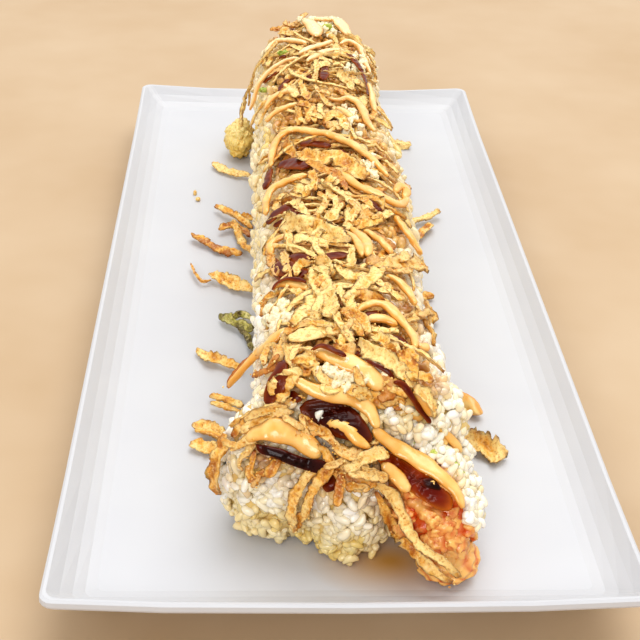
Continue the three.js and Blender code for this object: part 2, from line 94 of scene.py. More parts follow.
# The number that the random draws of each kind of piece start from.
SEEDS = {"rice": 3, "crisps": 11, "sauces": 23, "prawn": 31, "fallen": 47, "batter": 61, "herbs": 71}


def unit(vectors):
    return vectors / np.maximum(np.linalg.norm(vectors, axis=-1, keepdims=True), 1e-9)


def smooth(share):
    share = np.clip(share, 0, 1)
    return share * share * (3 - 2 * share)


def fade(values, start, length):
    """From 0 at the start to 1 one length on. A length under 0 goes the other way."""
    return smooth((values - start) / length)


def signed_power(values, power):
    return np.sign(values) * np.abs(values) ** power


def wobble(points, size, seed):
    """Smooth random values of about -1 to 1 over space, with features of that size."""
    rng = np.random.default_rng(seed)
    total = 0
    for _ in range(WAVES):
        way = rng.normal(size=3)
        way *= 2 * np.pi * rng.uniform(0.6, 1.5) / (size * np.linalg.norm(way))
        total = total + np.sin(points @ way + rng.uniform(0, 2 * np.pi))
    return total / WAVES_HEIGHT


def wobbles(points, layers, seed=0):
    """Layers of such values on each other: height, size and number of each."""
    return sum(height * wobble(points, size, seed + number) for height, size, number in layers)


def patches(points, height, size, number, added):
    """Random patches over space, from 0 outside them to 1 inside."""
    return smooth(height * wobble(points, size, number) + added)


def new_seed(rng):
    return int(rng.integers(1 << 30))


def run_along(points):
    """The length of the way from the first point to each."""
    steps = np.linalg.norm(np.diff(np.asarray(points, float), axis=0), axis=1)
    return np.concatenate([[0], np.cumsum(steps)])


def keep_height(points, low=BASE, high=TOP):
    """Holds points between two heights."""
    points[..., 2] = np.clip(points[..., 2], low, high)


def spline(points, count, steps=12):
    """Points spread evenly along a smooth curve through the given ones."""
    points = np.asarray(points, float)
    padded = np.vstack([2 * points[0] - points[1], points, 2 * points[-1] - points[-2]])
    share = np.linspace(0, 1, steps, endpoint=False)[:, None]
    fine = []
    for i in range(len(points) - 1):
        a, b, c, d = padded[i : i + 4]
        curve = 2 * b + (c - a) * share + (2 * a - 5 * b + 4 * c - d) * share**2
        fine.append((curve + (3 * b - a - 3 * c + d) * share**3) / 2)
    fine = np.vstack(fine + [points[-1:]])
    run = run_along(fine)
    at = np.linspace(0, run[-1], count)
    return np.stack([np.interp(at, run, fine[:, k]) for k in range(points.shape[1])], 1)


# The roll's skin


def half_width(y, side=0.0):
    """The roll's half width, on its right where side is over 0."""
    waist = sum(depth * np.exp(-(((y - at) / length) ** 2)) for depth, at, length in WAISTS)
    return HALF_WIDTH + FLARE * fade(y, FLARE_FROM, -FLARE_LENGTH) - waist * (side > 0)


def end_rounding(y):
    """How far the skin is drawn in near the two ends."""
    front = fade(y, CORE_FRONT + END_LENGTH, -END_LENGTH)
    back = fade(y, BACK - END_LENGTH, END_LENGTH)
    return FRONT_ROUND * front**2 + BACK_ROUND * back**2


def skin(degrees, y, lift=0.0):
    """Points on the roll's skin, by degrees from the crown and Y, with a lift off it."""
    angle = np.radians(degrees)
    lift = lift - end_rounding(y)
    x = ROLL_X + (half_width(y, np.sin(angle)) + lift) * signed_power(np.sin(angle), 2 / SQUARENESS)
    z = ROLL_Z + (HALF_HEIGHT + lift) * signed_power(np.cos(angle), 2 / SQUARENESS)
    x, y, z = np.broadcast_arrays(x, y, np.maximum(z, BASE))
    return np.stack([x, y, z], -1).astype(float)


def skin_normal(points):
    """The way out of the skin at points near it, turned forwards at the round front end."""
    y = points[..., 1]
    power = SQUARENESS - 1
    wide = half_width(y, points[..., 0] - ROLL_X)
    x = signed_power((points[..., 0] - ROLL_X) / wide, power) / wide
    z = signed_power((points[..., 2] - ROLL_Z) / HALF_HEIGHT, power) / HALF_HEIGHT
    out = unit(np.stack([x, np.zeros_like(x), z], -1))
    slope = (end_rounding(y + 0.5) - end_rounding(y - 0.5))[..., None]
    return unit(out + slope * np.array([0.0, 1.0, 0.0]))


def outward(points):
    """The way out of the food at points on its toppings, also in front of the roll."""
    front = fade(points[..., 1], HEART_FROM, -HEART_LENGTH)[..., None]
    return unit(skin_normal(points) * (1 - front) + unit(points - np.array(HEART)) * front)


def in_core(points, lift):
    y = points[..., 1]
    lift = lift - end_rounding(y)
    x = np.abs(points[..., 0] - ROLL_X) / (half_width(y, points[..., 0] - ROLL_X) + lift)
    z = np.abs(points[..., 2] - ROLL_Z) / (HALF_HEIGHT + lift)
    return (x**SQUARENESS + z**SQUARENESS < 1) & (y > CORE_FRONT - lift) & (y < BACK + lift)


def in_lobe(points, lobe, lift):
    centre, half = lobe
    return (((points - np.array(centre)) / (np.array(half) + lift)) ** 2).sum(-1) < 1


def prawn_radii(count):
    """The prawn's radius at points spread along its centre line."""
    last = len(PRAWN_RADII) - 1
    return np.interp(np.linspace(0, last, count), range(last + 1), PRAWN_RADII)


def in_prawn(points, lift, count=20):
    line = spline(PRAWN_LINE, count)
    apart = np.linalg.norm(points[..., None, :] - line, axis=-1)
    return (apart < prawn_radii(count) + lift).any(-1)


def camera_axes():
    """The camera's right, up and forward directions."""
    flat = math.cos(PITCH)
    forwards = np.array([math.sin(YAW) * flat, math.cos(YAW) * flat, -math.sin(PITCH)])
    level = np.array([math.cos(YAW), -math.sin(YAW), 0.0])
    upright = np.cross(level, forwards)
    right = math.cos(ROLL) * level + math.sin(ROLL) * upright
    return right, math.cos(ROLL) * upright - math.sin(ROLL) * level, forwards


def sight_lines(pixels):
    """The ways from the camera to pixels of the photograph."""
    right, up, forwards = camera_axes()
    pixels = np.asarray(pixels, float)
    focal = PIXELS * LENS / SENSOR
    aside = (pixels[:, :1] - PIXELS * (0.5 - SHIFT)) / focal
    above = (PIXELS / 2 - pixels[:, 1:]) / focal
    return forwards + right * aside + up * above


def on_plate(pixels, lift):
    """Points at that height above the plate's floor that lie at pixels of the photograph."""
    aim = sight_lines(pixels)
    return EYE + aim * ((BASE + lift - EYE[2]) / aim[:, 2:])


def beside(far, neighbour):
    """The distance of a point, or where it has missed the food, a little over its neighbour's."""
    return neighbour + 1 if far > neighbour + MISS else far


def on_food(pixels, lift, evenings=0):
    """Points above the food or the plate, by that lift, that lie at pixels of the photograph.

    A point that sticks out past the food's outline stays as near to the camera as the one beside it, and
    none lies beyond the roll's back end. Evenings take small steps out of the line, seen from the side.
    """
    aim = sight_lines(pixels)
    reach = np.arange(*REACH)
    path = EYE + aim[:, None] * reach[:, None]
    inside = in_core(path, lift) | in_prawn(path, lift) | (path[..., 2] < BASE + lift)
    for lobe in LOBES:
        inside |= in_lobe(path, lobe, lift)
    far = reach[inside.argmax(1)]
    for i in range(1, len(far)):
        far[i] = beside(far[i], far[i - 1])
    for i in reversed(range(len(far) - 1)):
        far[i] = beside(far[i], far[i + 1])
    far = np.minimum(far, (BACK - BACK_MARGIN - EYE[1]) / aim[:, 1])
    for _ in range(evenings):
        far[1:-1] = (far[:-2] + 2 * far[1:-1] + far[2:]) / 4
    points = EYE + aim * far[:, None]
    keep_height(points, -np.inf, TOP - TOP_MARGIN)
    return points


# Meshes


@functools.lru_cache(None)
def loft_triangles(rings, sides):
    """The triangles of a closed body of rings. Its last two points are the middles of its ends."""
    i, j = np.meshgrid(np.arange(rings - 1), np.arange(sides), indexing="ij")
    a, b = i * sides + j, i * sides + (j + 1) % sides
    walls = [np.stack([a, b, b + sides], -1), np.stack([a, b + sides, a + sides], -1)]
    j = np.arange(sides)
    k = (j + 1) % sides
    hub = np.full(sides, rings * sides)
    last = (rings - 1) * sides
    caps = [np.stack([hub, k, j], -1), np.stack([hub + 1, last + j, last + k], -1)]
    return np.concatenate([part.reshape(-1, 3) for part in walls + caps])


class Batch:
    """Closed bodies joined in one mesh. Each point keeps a tint of three numbers from 0 to 1."""

    def __init__(self):
        self.points, self.triangles, self.tints, self.size = [], [], [], 0

    def add(self, points, triangles, tint):
        self.points.append(points)
        self.triangles.append(triangles + self.size)
        self.tints.append(np.broadcast_to(tint, points.shape))
        self.size += len(points)

    def add_copies(self, points, triangles, tints):
        """Many bodies with the same triangles, each with one tint."""
        count, each = points.shape[:2]
        offset = np.arange(count)[:, None, None] * each
        self.add(points.reshape(-1, 3), (triangles + offset).reshape(-1, 3), np.repeat(tints, each, 0))

    def loft(self, rings, tint=(0.5, 0.5, 0.5)):
        """A closed body through rings, a rings by sides by 3 array."""
        ends = [rings[0].mean(0), rings[-1].mean(0)]
        tint = np.broadcast_to(tint, rings.shape)
        tints = np.vstack([tint.reshape(-1, 3), tint[0].mean(0), tint[-1].mean(0)])
        self.add(np.vstack([rings.reshape(-1, 3), ends]), loft_triangles(*rings.shape[:2]), tints)

    def make(self, name, material, nodes=(), slot=None):
        """The joined mesh as a piece that stands for CAD nodes."""
        points = np.vstack(self.points) * MM
        triangles = np.vstack(self.triangles)
        mesh = bpy.data.meshes.new(name)
        mesh.vertices.add(len(points))
        mesh.vertices.foreach_set("co", points.ravel())
        mesh.loops.add(triangles.size)
        mesh.loops.foreach_set("vertex_index", triangles.ravel().astype(np.int32))
        mesh.polygons.add(len(triangles))
        mesh.polygons.foreach_set("loop_start", np.arange(0, triangles.size, 3, dtype=np.int32))
        mesh.update(calc_edges=True)
        mesh.shade_smooth()
        tint = mesh.attributes.new("tint", "FLOAT_COLOR", "POINT")
        colours = np.hstack([np.vstack(self.tints), np.ones((len(points), 1))])
        tint.data.foreach_set("color", colours.ravel())
        mesh.materials.append(material)
        piece = bpy.data.objects.new(name, mesh)
        bpy.context.scene.collection.objects.link(piece)
        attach(piece, "root")
        if nodes:
            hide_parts(*nodes)
        print(name, len(triangles), "triangles")
        return piece


def sweep(line, ups, widths, heights, sides, squareness=2.0):
    """Rings round a line, with full widths and heights at each of its points."""
    along = unit(np.gradient(line, axis=0))
    across = unit(np.cross(ups, along))
    up = np.cross(along, across)
    angle = np.arange(sides) * 2 * np.pi / sides
    wide = signed_power(np.cos(angle), 2 / squareness) * np.reshape(widths, (-1, 1)) / 2
    high = signed_power(np.sin(angle), 2 / squareness) * np.reshape(heights, (-1, 1)) / 2
    return line[:, None] + across[:, None] * wide[..., None] + up[:, None] * high[..., None]


# Rice

# The grains in three pieces: name, ends in Y, spacing, size, and how many sides and rings a grain has.
FRONT_GRAINS_TO = -84.0
RICE_PIECES = [
    ("rice_grains_front", CORE_FRONT, FRONT_GRAINS_TO, 1.42, 0.8, 8, 5),
    ("rice_grains_middle", FRONT_GRAINS_TO, 0.0, 2.0, 1.0, 8, 4),
    ("rice_grains_back", 0.0, BACK, 2.1, 1.0, 6, 4),
]
# The smallest and the largest half sizes of a grain, how blunt its ends are, how far it tilts and bends,
# and how far the lowest ones may reach into the plate.
GRAIN_HALF = (1.5, 0.95, 0.95), (2.5, 1.3, 1.25)
GRAIN_BLUNTNESS, GRAIN_TILT, GRAIN_BEND, GRAIN_SINK = 2.4, 0.45, 0.2, 0.25
# How far under the skin the body of rice ends and the grains have their middles, give or take the ruffle.
BODY_DEPTH, GRAIN_DEPTH, RUFFLE = 1.8, 1.4, 0.45
# Where the rice swells out: height, size and number of each layer of swellings.
RICE_SWELLS = [(0.85, 6.5, 44), (0.3, 3.2, 45)]
# A cut: half its gap in the body, its groove's depth and width, and half its gap between the grains.
CUT_GAP, GROOVE_DEPTH, GROOVE_WIDTH, GRAIN_GAP = 0.25, 1.4, 0.8, 0.7
# Grains this far inside another part of the rice, or this low over the plate, are left out.
BURIED, LOWEST_GRAIN = 1.4, 0.9
# Rows of grains lie this many spacings apart.
ROW_STEP = 0.87
# Rows of a body of rice, and the dents in it and in its grains: height, size and number.
BODY_ROWS, BODY_STEP, BODY_DENTS, GRAIN_DENTS = 20, 3.0, [(0.2, 3.0, 8)], [(0.12, 2.0, 5)]
# How unsteady the places of grains are along a row and across it, in spacings.
ALONG_ROW, ACROSS_ROWS = 0.35, 0.4
# Where the rice is yellow, as start and length: low down, at the front end, and towards the back. How
# yellow it is there: in patches, low at the front end, and towards the back.
YELLOW_LOW, YELLOW_FRONT, YELLOW_BACK = (26, -14), (-90, -10), (-70, 60)
IN_PATCHES, IN_FRONT, AT_BACK = 0.5, 0.7, 0.5
# Where the rice under the heap is darker, as start and length: high up, and behind the front end. That is
# sauce stain and painted shade of the crisps over it.
HEAP_STAIN_AND_SHADE_HIGH, HEAP_STAIN_AND_SHADE_BEHIND = (40, 5), (-112, 4)
# How patchy the yellow, the stain and painted shade under the heap, and the stains in front are: height,
# size and number of the random values that make them, and what is added to those.
YELLOW_PATCHES, HEAP_STAIN_AND_SHADE_PATCHES, FRONT_PATCHES = (0.9, 7, 21, -0.1), (0.6, 13, 33, 0.95), (0.6, 3, 34, 0.8)
# Where sauces have stained the rice in front: pixel of the photograph, and radius in millimetres.
STAINS = [
    ((262, 462), 3.5), ((284, 472), 3.0), ((306, 474), 3.0), ((330, 488), 3.0), ((352, 446), 4.0),
    ((374, 462), 4.0), ((243, 493), 1.2), ((250, 528), 1.4), ((374, 500), 2.5),
]
# Rice beside the prawn, in pixels of the photograph: its inner and outer edge. Lifts of its two layers.
RICE_INNER = [(416, 444), (436, 456), (452, 470), (462, 486), (467, 504), (469, 522)]
RICE_OUTER = [(442, 447), (458, 459), (470, 474), (477, 490), (480, 507), (479, 524)]
RICE_LIFTS = (0.5, 1.6)


@functools.lru_cache(None)
def grain_shape(sides, rings):
    """A grain with half length and radius 1, along X, and its triangles."""
    angle = np.linspace(0, np.pi, rings + 2)[1:-1, None]
    x = -np.cos(angle)
    radius = (1 - np.abs(x) ** GRAIN_BLUNTNESS) ** 0.5
    turn = np.arange(sides)[None] * 2 * np.pi / sides
    body = np.stack([x + 0 * turn, radius * np.cos(turn), radius * np.sin(turn)], -1)
    points = np.vstack([body.reshape(-1, 3), [(-1, 0, 0), (1, 0, 0)]])
    return points, loft_triangles(rings, sides)


def lay_grains(batch, spots, normals, rng, sides, rings, tints, size=1.0):
    """Grains at spots, lying along the skin in every direction with some tilt."""
    count = len(spots)
    shape, triangles = grain_shape(sides, rings)
    heading = unit(np.cross(normals, rng.normal(size=(count, 3))))
    tilt = rng.normal(0, GRAIN_TILT, (count, 1))
    along = heading * np.cos(tilt) + normals * np.sin(tilt)
    side = unit(np.cross(normals, along))
    up = np.cross(along, side)
    half = size * rng.uniform(*GRAIN_HALF, (count, 3))
    bend = rng.normal(0, GRAIN_BEND, (count, 1))
    x = shape[None, :, 0] * half[:, :1]
    y = shape[None, :, 1] * half[:, 1:2] + bend * (shape[None, :, 0] ** 2) * half[:, 1:2] * 2
    z = shape[None, :, 2] * half[:, 2:]
    points = spots[:, None] + along[:, None] * x[..., None]
    points = points + side[:, None] * y[..., None] + up[:, None] * z[..., None]
    points += wobbles(points, GRAIN_DENTS)[..., None] * side[:, None]
    keep_height(points, BASE - GRAIN_SINK, np.inf)
    batch.add_copies(points, triangles, tints)


def skin_spots(low, high, spacing, rng):
    """Even but unsteady places on the skin between two values of Y."""
    samples = np.linspace(-SKIN_EDGE, SKIN_EDGE, 721)
    run = run_along(skin(samples, 0.0))
    rows = round((high - low) / (spacing * ROW_STEP))
    spots = []
    for row in range(rows):
        at = np.arange(run[-1] // spacing) + 0.5 * (row % 2) + 0.25
        at = (at + rng.uniform(-ALONG_ROW, ALONG_ROW, len(at))) * spacing
        apart = row + 0.5 + rng.uniform(-ACROSS_ROWS, ACROSS_ROWS, len(at))
        y = low + apart * (high - low) / rows
        spots.append(np.stack([np.interp(at, run, samples), y], 1))
    return np.vstack(spots)


def lobe_spots(lobe, spacing, rng):
    """Even places over one swelling of the front end, and the ways out of it."""
    centre, half = np.array(lobe[0], float), np.array(lobe[1], float)
    area = 4 * np.pi * (half[0] * half[1] * half[2]) ** (2 / 3)
    count = int(area / (ROW_STEP * spacing**2))
    index = np.arange(count) + 0.5
    height = 1 - 2 * index / count
    turn = index * np.pi * (1 + 5**0.5) + rng.normal(0, 0.15, count)
    flat = np.sqrt(1 - height**2)
    ball = np.stack([flat * np.cos(turn), flat * np.sin(turn), height], 1)
    return centre + ball * half, unit(ball / half)


def end_spots(y, spacing, rng):
    """Even places over the flat middle of one end of the roll."""
    rounding = FRONT_ROUND if y < 0 else BACK_ROUND
    wide, high = half_width(y) - rounding, HALF_HEIGHT - rounding
    x, z = np.meshgrid(np.arange(-wide, wide, spacing), np.arange(-high, high, spacing))
    spots = np.stack([x.ravel(), np.zeros(x.size), z.ravel()], 1)
    spots += rng.uniform(-0.3, 0.3, spots.shape) * spacing
    spots = spots[(spots[:, 0] / wide) ** 2 + (spots[:, 2] / high) ** 2 < 1.1]
    normal = np.array([0.0, 1.0 if y > 0 else -1.0, 0.0])
    return spots + np.array([ROLL_X, y, ROLL_Z]), np.broadcast_to(normal, spots.shape)


def rice_clumps(points):
    """How far the rice swells out at points on it, in millimetres."""
    return wobbles(points, RICE_SWELLS)


def rice_tints(points, rng):
    """For each grain: how bright it is, how yellow, and its sauce stain, with painted shade under the heap.
    """
    y, z = points[:, 1], points[:, 2]
    yellow = IN_PATCHES * patches(points, *YELLOW_PATCHES)
    yellow += IN_FRONT * fade(z, *YELLOW_LOW) * fade(y, *YELLOW_FRONT)
    yellow += AT_BACK * fade(y, *YELLOW_BACK)
    # Sauce stain and painted shade under the heap of crisps.
    stain = fade(z, *HEAP_STAIN_AND_SHADE_HIGH) * fade(y, *HEAP_STAIN_AND_SHADE_BEHIND) * patches(points, *HEAP_STAIN_AND_SHADE_PATCHES)
    pixels, radii = zip(*STAINS)
    for spot, radius in zip(on_food(pixels, 0.0), radii):
        apart = np.linalg.norm(points - spot, axis=-1) / radius
        stain = np.maximum(stain, 0.9 * np.exp(-(apart**2)) * patches(points, *FRONT_PATCHES))
    return np.stack([rng.uniform(0.25, 1, len(points)), np.clip(yellow, 0, 1), stain], -1)


def beside_prawn(rng, rows=15, across=5):
    """Spots for the rice at the prawn's right side, and the ways out of it."""
    inner, outer = spline(RICE_INNER, rows), spline(RICE_OUTER, rows)
    share = np.linspace(0, 1, across)[:, None]
    lines = [on_food(a + (b - a) * share, lift) for a, b in zip(inner, outer) for lift in RICE_LIFTS]
    spots = np.vstack(lines) + rng.uniform(-0.5, 0.5, (2 * rows * across, 3))
    return spots, outward(spots)


def rice_layer(rng, low, high, spacing):
    """Spots and ways out for the grains between two values of Y, with the ends that they reach."""
    at_front = low == CORE_FRONT
    on_skin = skin_spots(low, high, spacing, rng)
    points = skin(on_skin[:, 0], on_skin[:, 1])
    from_cut = np.abs((points[:, 1] - FIRST_CUT + SLICE_LENGTH / 2) % SLICE_LENGTH - SLICE_LENGTH / 2)
    points = points[from_cut > GRAIN_GAP]
    groups = [(points, skin_normal(points), None)]
    if at_front:
        groups += [(*lobe_spots(lobe, spacing, rng), lobe) for lobe in LOBES]
        groups += [(*end_spots(CORE_FRONT, spacing, rng), None)]
    if high == BACK:
        groups += [(*end_spots(BACK, 0.8 * spacing, rng), None)]
    kept_spots, kept_normals = [], []
    for spots, normals, own_lobe in groups:
        ruffle = rng.uniform(-RUFFLE, RUFFLE, len(spots))
        spots = spots + normals * (rice_clumps(spots) + ruffle - GRAIN_DEPTH)[:, None]
        hidden = in_prawn(spots, 0.0) | (spots[:, 2] < BASE + LOWEST_GRAIN)
        for lobe in LOBES:
            if at_front and lobe is not own_lobe:
                hidden |= in_lobe(spots, lobe, -GRAIN_DEPTH - BURIED)
        if own_lobe:
            hidden |= in_core(spots, -GRAIN_DEPTH - BURIED)
        kept_spots.append(spots[~hidden])
        kept_normals.append(normals[~hidden])
    if at_front:
        spots, normals = beside_prawn(rng)
        kept_spots.append(spots)
        kept_normals.append(normals)
    return np.vstack(kept_spots), np.vstack(kept_normals)


def add_slice_body(batch, number, rng):
    """The rice under the grains of one slice, with a groove beside each cut."""
    first, last = number == 0, number == SLICES - 1
    low = CORE_FRONT if first else FIRST_CUT + (number - 1) * SLICE_LENGTH
    high = BACK if last else FIRST_CUT + number * SLICE_LENGTH
    start = low + (BODY_DEPTH if first else CUT_GAP)
    end = high - (BODY_DEPTH if last else CUT_GAP)
    y = np.linspace(start, end, BODY_ROWS)
    groove = GROOVE_DEPTH * np.exp(-np.minimum(y - low, high - y) / GROOVE_WIDTH)
    rings = skin(np.arange(-180, 180, BODY_STEP), y[:, None], -BODY_DEPTH - groove[:, None])
    rings += skin_normal(rings) * (rice_clumps(rings) + wobbles(rings, BODY_DENTS))[..., None]
    keep_height(rings, BASE, np.inf)
    tints = rice_tints(rings.reshape(-1, 3), rng).reshape(rings.shape)
    # Painted shade: the body between the grains takes the darkest, golden rice colour.
    tints[..., 0] = 0.0
    batch.loft(rings[:, ::-1], tints[:, ::-1])


def add_lobe_body(batch, lobe):
    """The rice under the grains of one swelling of the front end."""
    centre, half = np.array(lobe)
    ball, triangles = grain_shape(48, 32)
    ball = ball[:, [1, 2, 0]]
    points = ball * (half - BODY_DEPTH) + centre
    points += unit(ball / half) * rice_clumps(points)[:, None]
    keep_height(points, BASE, np.inf)
    # Painted shade: the body between the grains takes the darkest, golden rice colour.
    batch.add(points, triangles, (0.0, 0.3, 0.0))


def make_rice(materials, slices):
    rng = np.random.default_rng(SEEDS["rice"])
    batch = Batch()
    for number in range(SLICES):
        add_slice_body(batch, number, rng)
    for lobe in LOBES:
        add_lobe_body(batch, lobe)
    batch.make("rice_body", materials["rice"], slices, "rice")
    for name, low, high, spacing, size, sides, rings in RICE_PIECES:
        spots, normals = rice_layer(rng, low, high, spacing)
        batch = Batch()
        lay_grains(batch, spots, normals, rng, sides, rings, rice_tints(spots, rng), size)
        batch.make(name, materials["rice"], slices, "rice")


# Crisps

# Crisps and mayonnaise turn paler towards the back, as start and length. By how much, in crisps.
PALE, PALER = (0.0, 80.0), 0.32
# A crisp's ragged edges, its crinkles and its grit: height, size and number of each layer.
RAGGED = [(0.22, 6.0, 0), (0.13, 2.0, 6)]
CRINKLES = [(0.08, 3.6, 4), (0.06, 1.7, 5)]
GRIT = [(0.07, 1.0, 2)]
# The same for how its colour drifts, and how much painted shade darkens the hollows of its crinkles.
DRIFT, CRINKLE_SHADE = [(0.25, 5.0, 3)], 2.2
# The middle and the spread of how dark one crisp is, and of how far it curls up at its edges.
CRISP_DARK, CURL = (0.22, 0.24), (0.35, 0.4)
# How far its ends are narrowed and how suddenly, and the range of its width along it.
NARROWED, SUDDENLY, EDGE_RANGE = 0.6, (3, 8), (0.4, 1.6)
# Random steps from point to point: in its edges, its surface and its colour.
EDGE_STEPS, SURFACE_STEPS, COLOUR_STEPS = 0.07, 0.05, 0.06
# The share of strips that have a side arm. It leaves one of the strip's points, at a turn in radians, and
# is longer than the strip's width by a length and narrower by a share.
BRANCHED, BRANCH_POINTS, BRANCH_AT, BRANCH_TURN = 0.5, 12, (3, 9), (0.5, 1.1)
BRANCH_LENGTH, BRANCH_SHARE = (1.5, 3.5), (0.6, 0.9)
# The widest side arm of a crisp, and how far under the top it stays.
BRANCH_WIDTH, BRANCH_MARGIN = 2.4, 0.6
# Flakes are this many times as wide as they look in the photograph's foreshortened view.
WIDER = 1.35
# How far all strips of the heap are lifted, and the painted shade that darkens one for each millimetre under
# a level.
HEAP_LIFT, PAINTED_HEAP_SHADE, HEAP_LEVEL = 0.7, 0.3, 2.2


def crisp_axes(line, ups, twist):
    """The ways across and out of a flake that turns from one twist to another, in degrees."""
    along = unit(np.gradient(line, axis=0))
    across = unit(np.cross(ups, along))
    up = np.cross(along, across)
    turn = np.radians(np.linspace(*twist, len(line)))[:, None]
    return across * np.cos(turn) - up * np.sin(turn), up * np.cos(turn) + across * np.sin(turn)


def crisp_tint(rings, place, share, crinkle, soaked, shade, seed, rng):
    """How dark each point of a flake is, with painted shade in its hollows, how near to an edge, and how far
    it is soaked with sauce.
    """
    # Painted shade: darker along the middle of its gutter and in the hollows of its crinkles, paler on their
    # ridges.
    groove = rng.uniform(0, 0.5) * (1 - np.abs(place)) - 0.1
    painted_relief_shade = CRINKLE_SHADE * crinkle - groove + rng.normal(0, COLOUR_STEPS, crinkle.shape)
    dark = rng.normal(*CRISP_DARK) + shade + wobbles(rings, DRIFT, seed) - painted_relief_shade
    dark = np.clip(dark - PALER * fade(rings[..., 1], *PALE), 0, 1)
    edge = np.abs(place)[None] ** 6 * rng.uniform(0.3, 1.0)
    ends = np.abs(2 * share - 1)[:, None] ** 12 * 0.8
    return np.stack(np.broadcast_arrays(dark, np.maximum(edge, ends), soaked), -1)


def add_crisp(batch, line, width, rng, thickness=0.5, twist=(0.0, 0.0), ups=None, columns=6, pitch=0.45,
              soaked=0.0, shade=0.0):
    """A fried flake along a line: thin, crinkled and curled, with ragged edges and a sandy surface."""
    count = max(9, round(run_along(line)[-1] / pitch))
    line = spline(line, count)
    ups = outward(line) if ups is None else np.broadcast_to(ups, line.shape)
    across, up = crisp_axes(line, ups, twist)
    share = np.linspace(0, 1, count)
    seed = new_seed(rng)

    over = np.linspace(1, -1, columns + 1)
    place = np.concatenate([over, -over[1:-1]])
    face = np.concatenate([np.ones(columns + 1), -np.ones(columns - 1)])
    face[[0, columns]] = 0
    blunt = 1 - NARROWED * np.abs(2 * share - 1) ** rng.uniform(*SUDDENLY)
    edges = []
    for side in range(2):
        ragged = 1 + wobbles(line, RAGGED, seed + side) + rng.normal(0, EDGE_STEPS, count)
        edges.append(np.clip(ragged, *EDGE_RANGE) * blunt * width / 2)
    reach = np.where(place[None] > 0, edges[0][:, None], edges[1][:, None])
    sheet = line[:, None] + across[:, None] * (place * reach)[..., None]
    curl = np.interp(share, [0, 0.5, 1], rng.normal(*CURL, 3))[:, None]
    crinkle = wobbles(sheet, CRINKLES, seed)
    half = thickness / 2 * np.sqrt(1 - 0.6 * place**2) * face
    rise = curl * place**2 * reach + crinkle * width + half * (0.7 + 0.3 * blunt[:, None])
    grit = wobbles(sheet, GRIT, seed) + rng.normal(0, SURFACE_STEPS, sheet.shape[:2])
    rings = sheet + up[:, None] * (rise + grit * np.sign(face + 0.01))[..., None]
    keep_height(rings)
    batch.loft(rings, crisp_tint(rings, place, share, crinkle, soaked, shade, seed, rng))


def add_branch(batch, line, width, rng, ups, soaked):
    """A short side arm that leaves a flake at some place along it."""
    line = spline(line, BRANCH_POINTS)
    at = rng.integers(*BRANCH_AT)
    along = unit(line[at + 1] - line[at - 1])
    aside = unit(np.cross(ups[at], along)) * rng.choice([-1, 1])
    turn = rng.uniform(*BRANCH_TURN)
    way = along * math.cos(turn) * rng.choice([-1, 1]) + aside * math.sin(turn)
    length = rng.uniform(*BRANCH_LENGTH) + width
    share = np.linspace(0, 1, 4)[:, None]
    arm = line[at] + way * share * length + ups[at] * 0.4 * np.sin(share * 3)
    arm -= aside * share**2 * rng.normal(0, 0.6)
    keep_height(arm, -np.inf, TOP - BRANCH_MARGIN)
    width = min(width, BRANCH_WIDTH) * rng.uniform(*BRANCH_SHARE)
    add_crisp(batch, arm, width, rng, soaked=soaked, ups=ups[at])
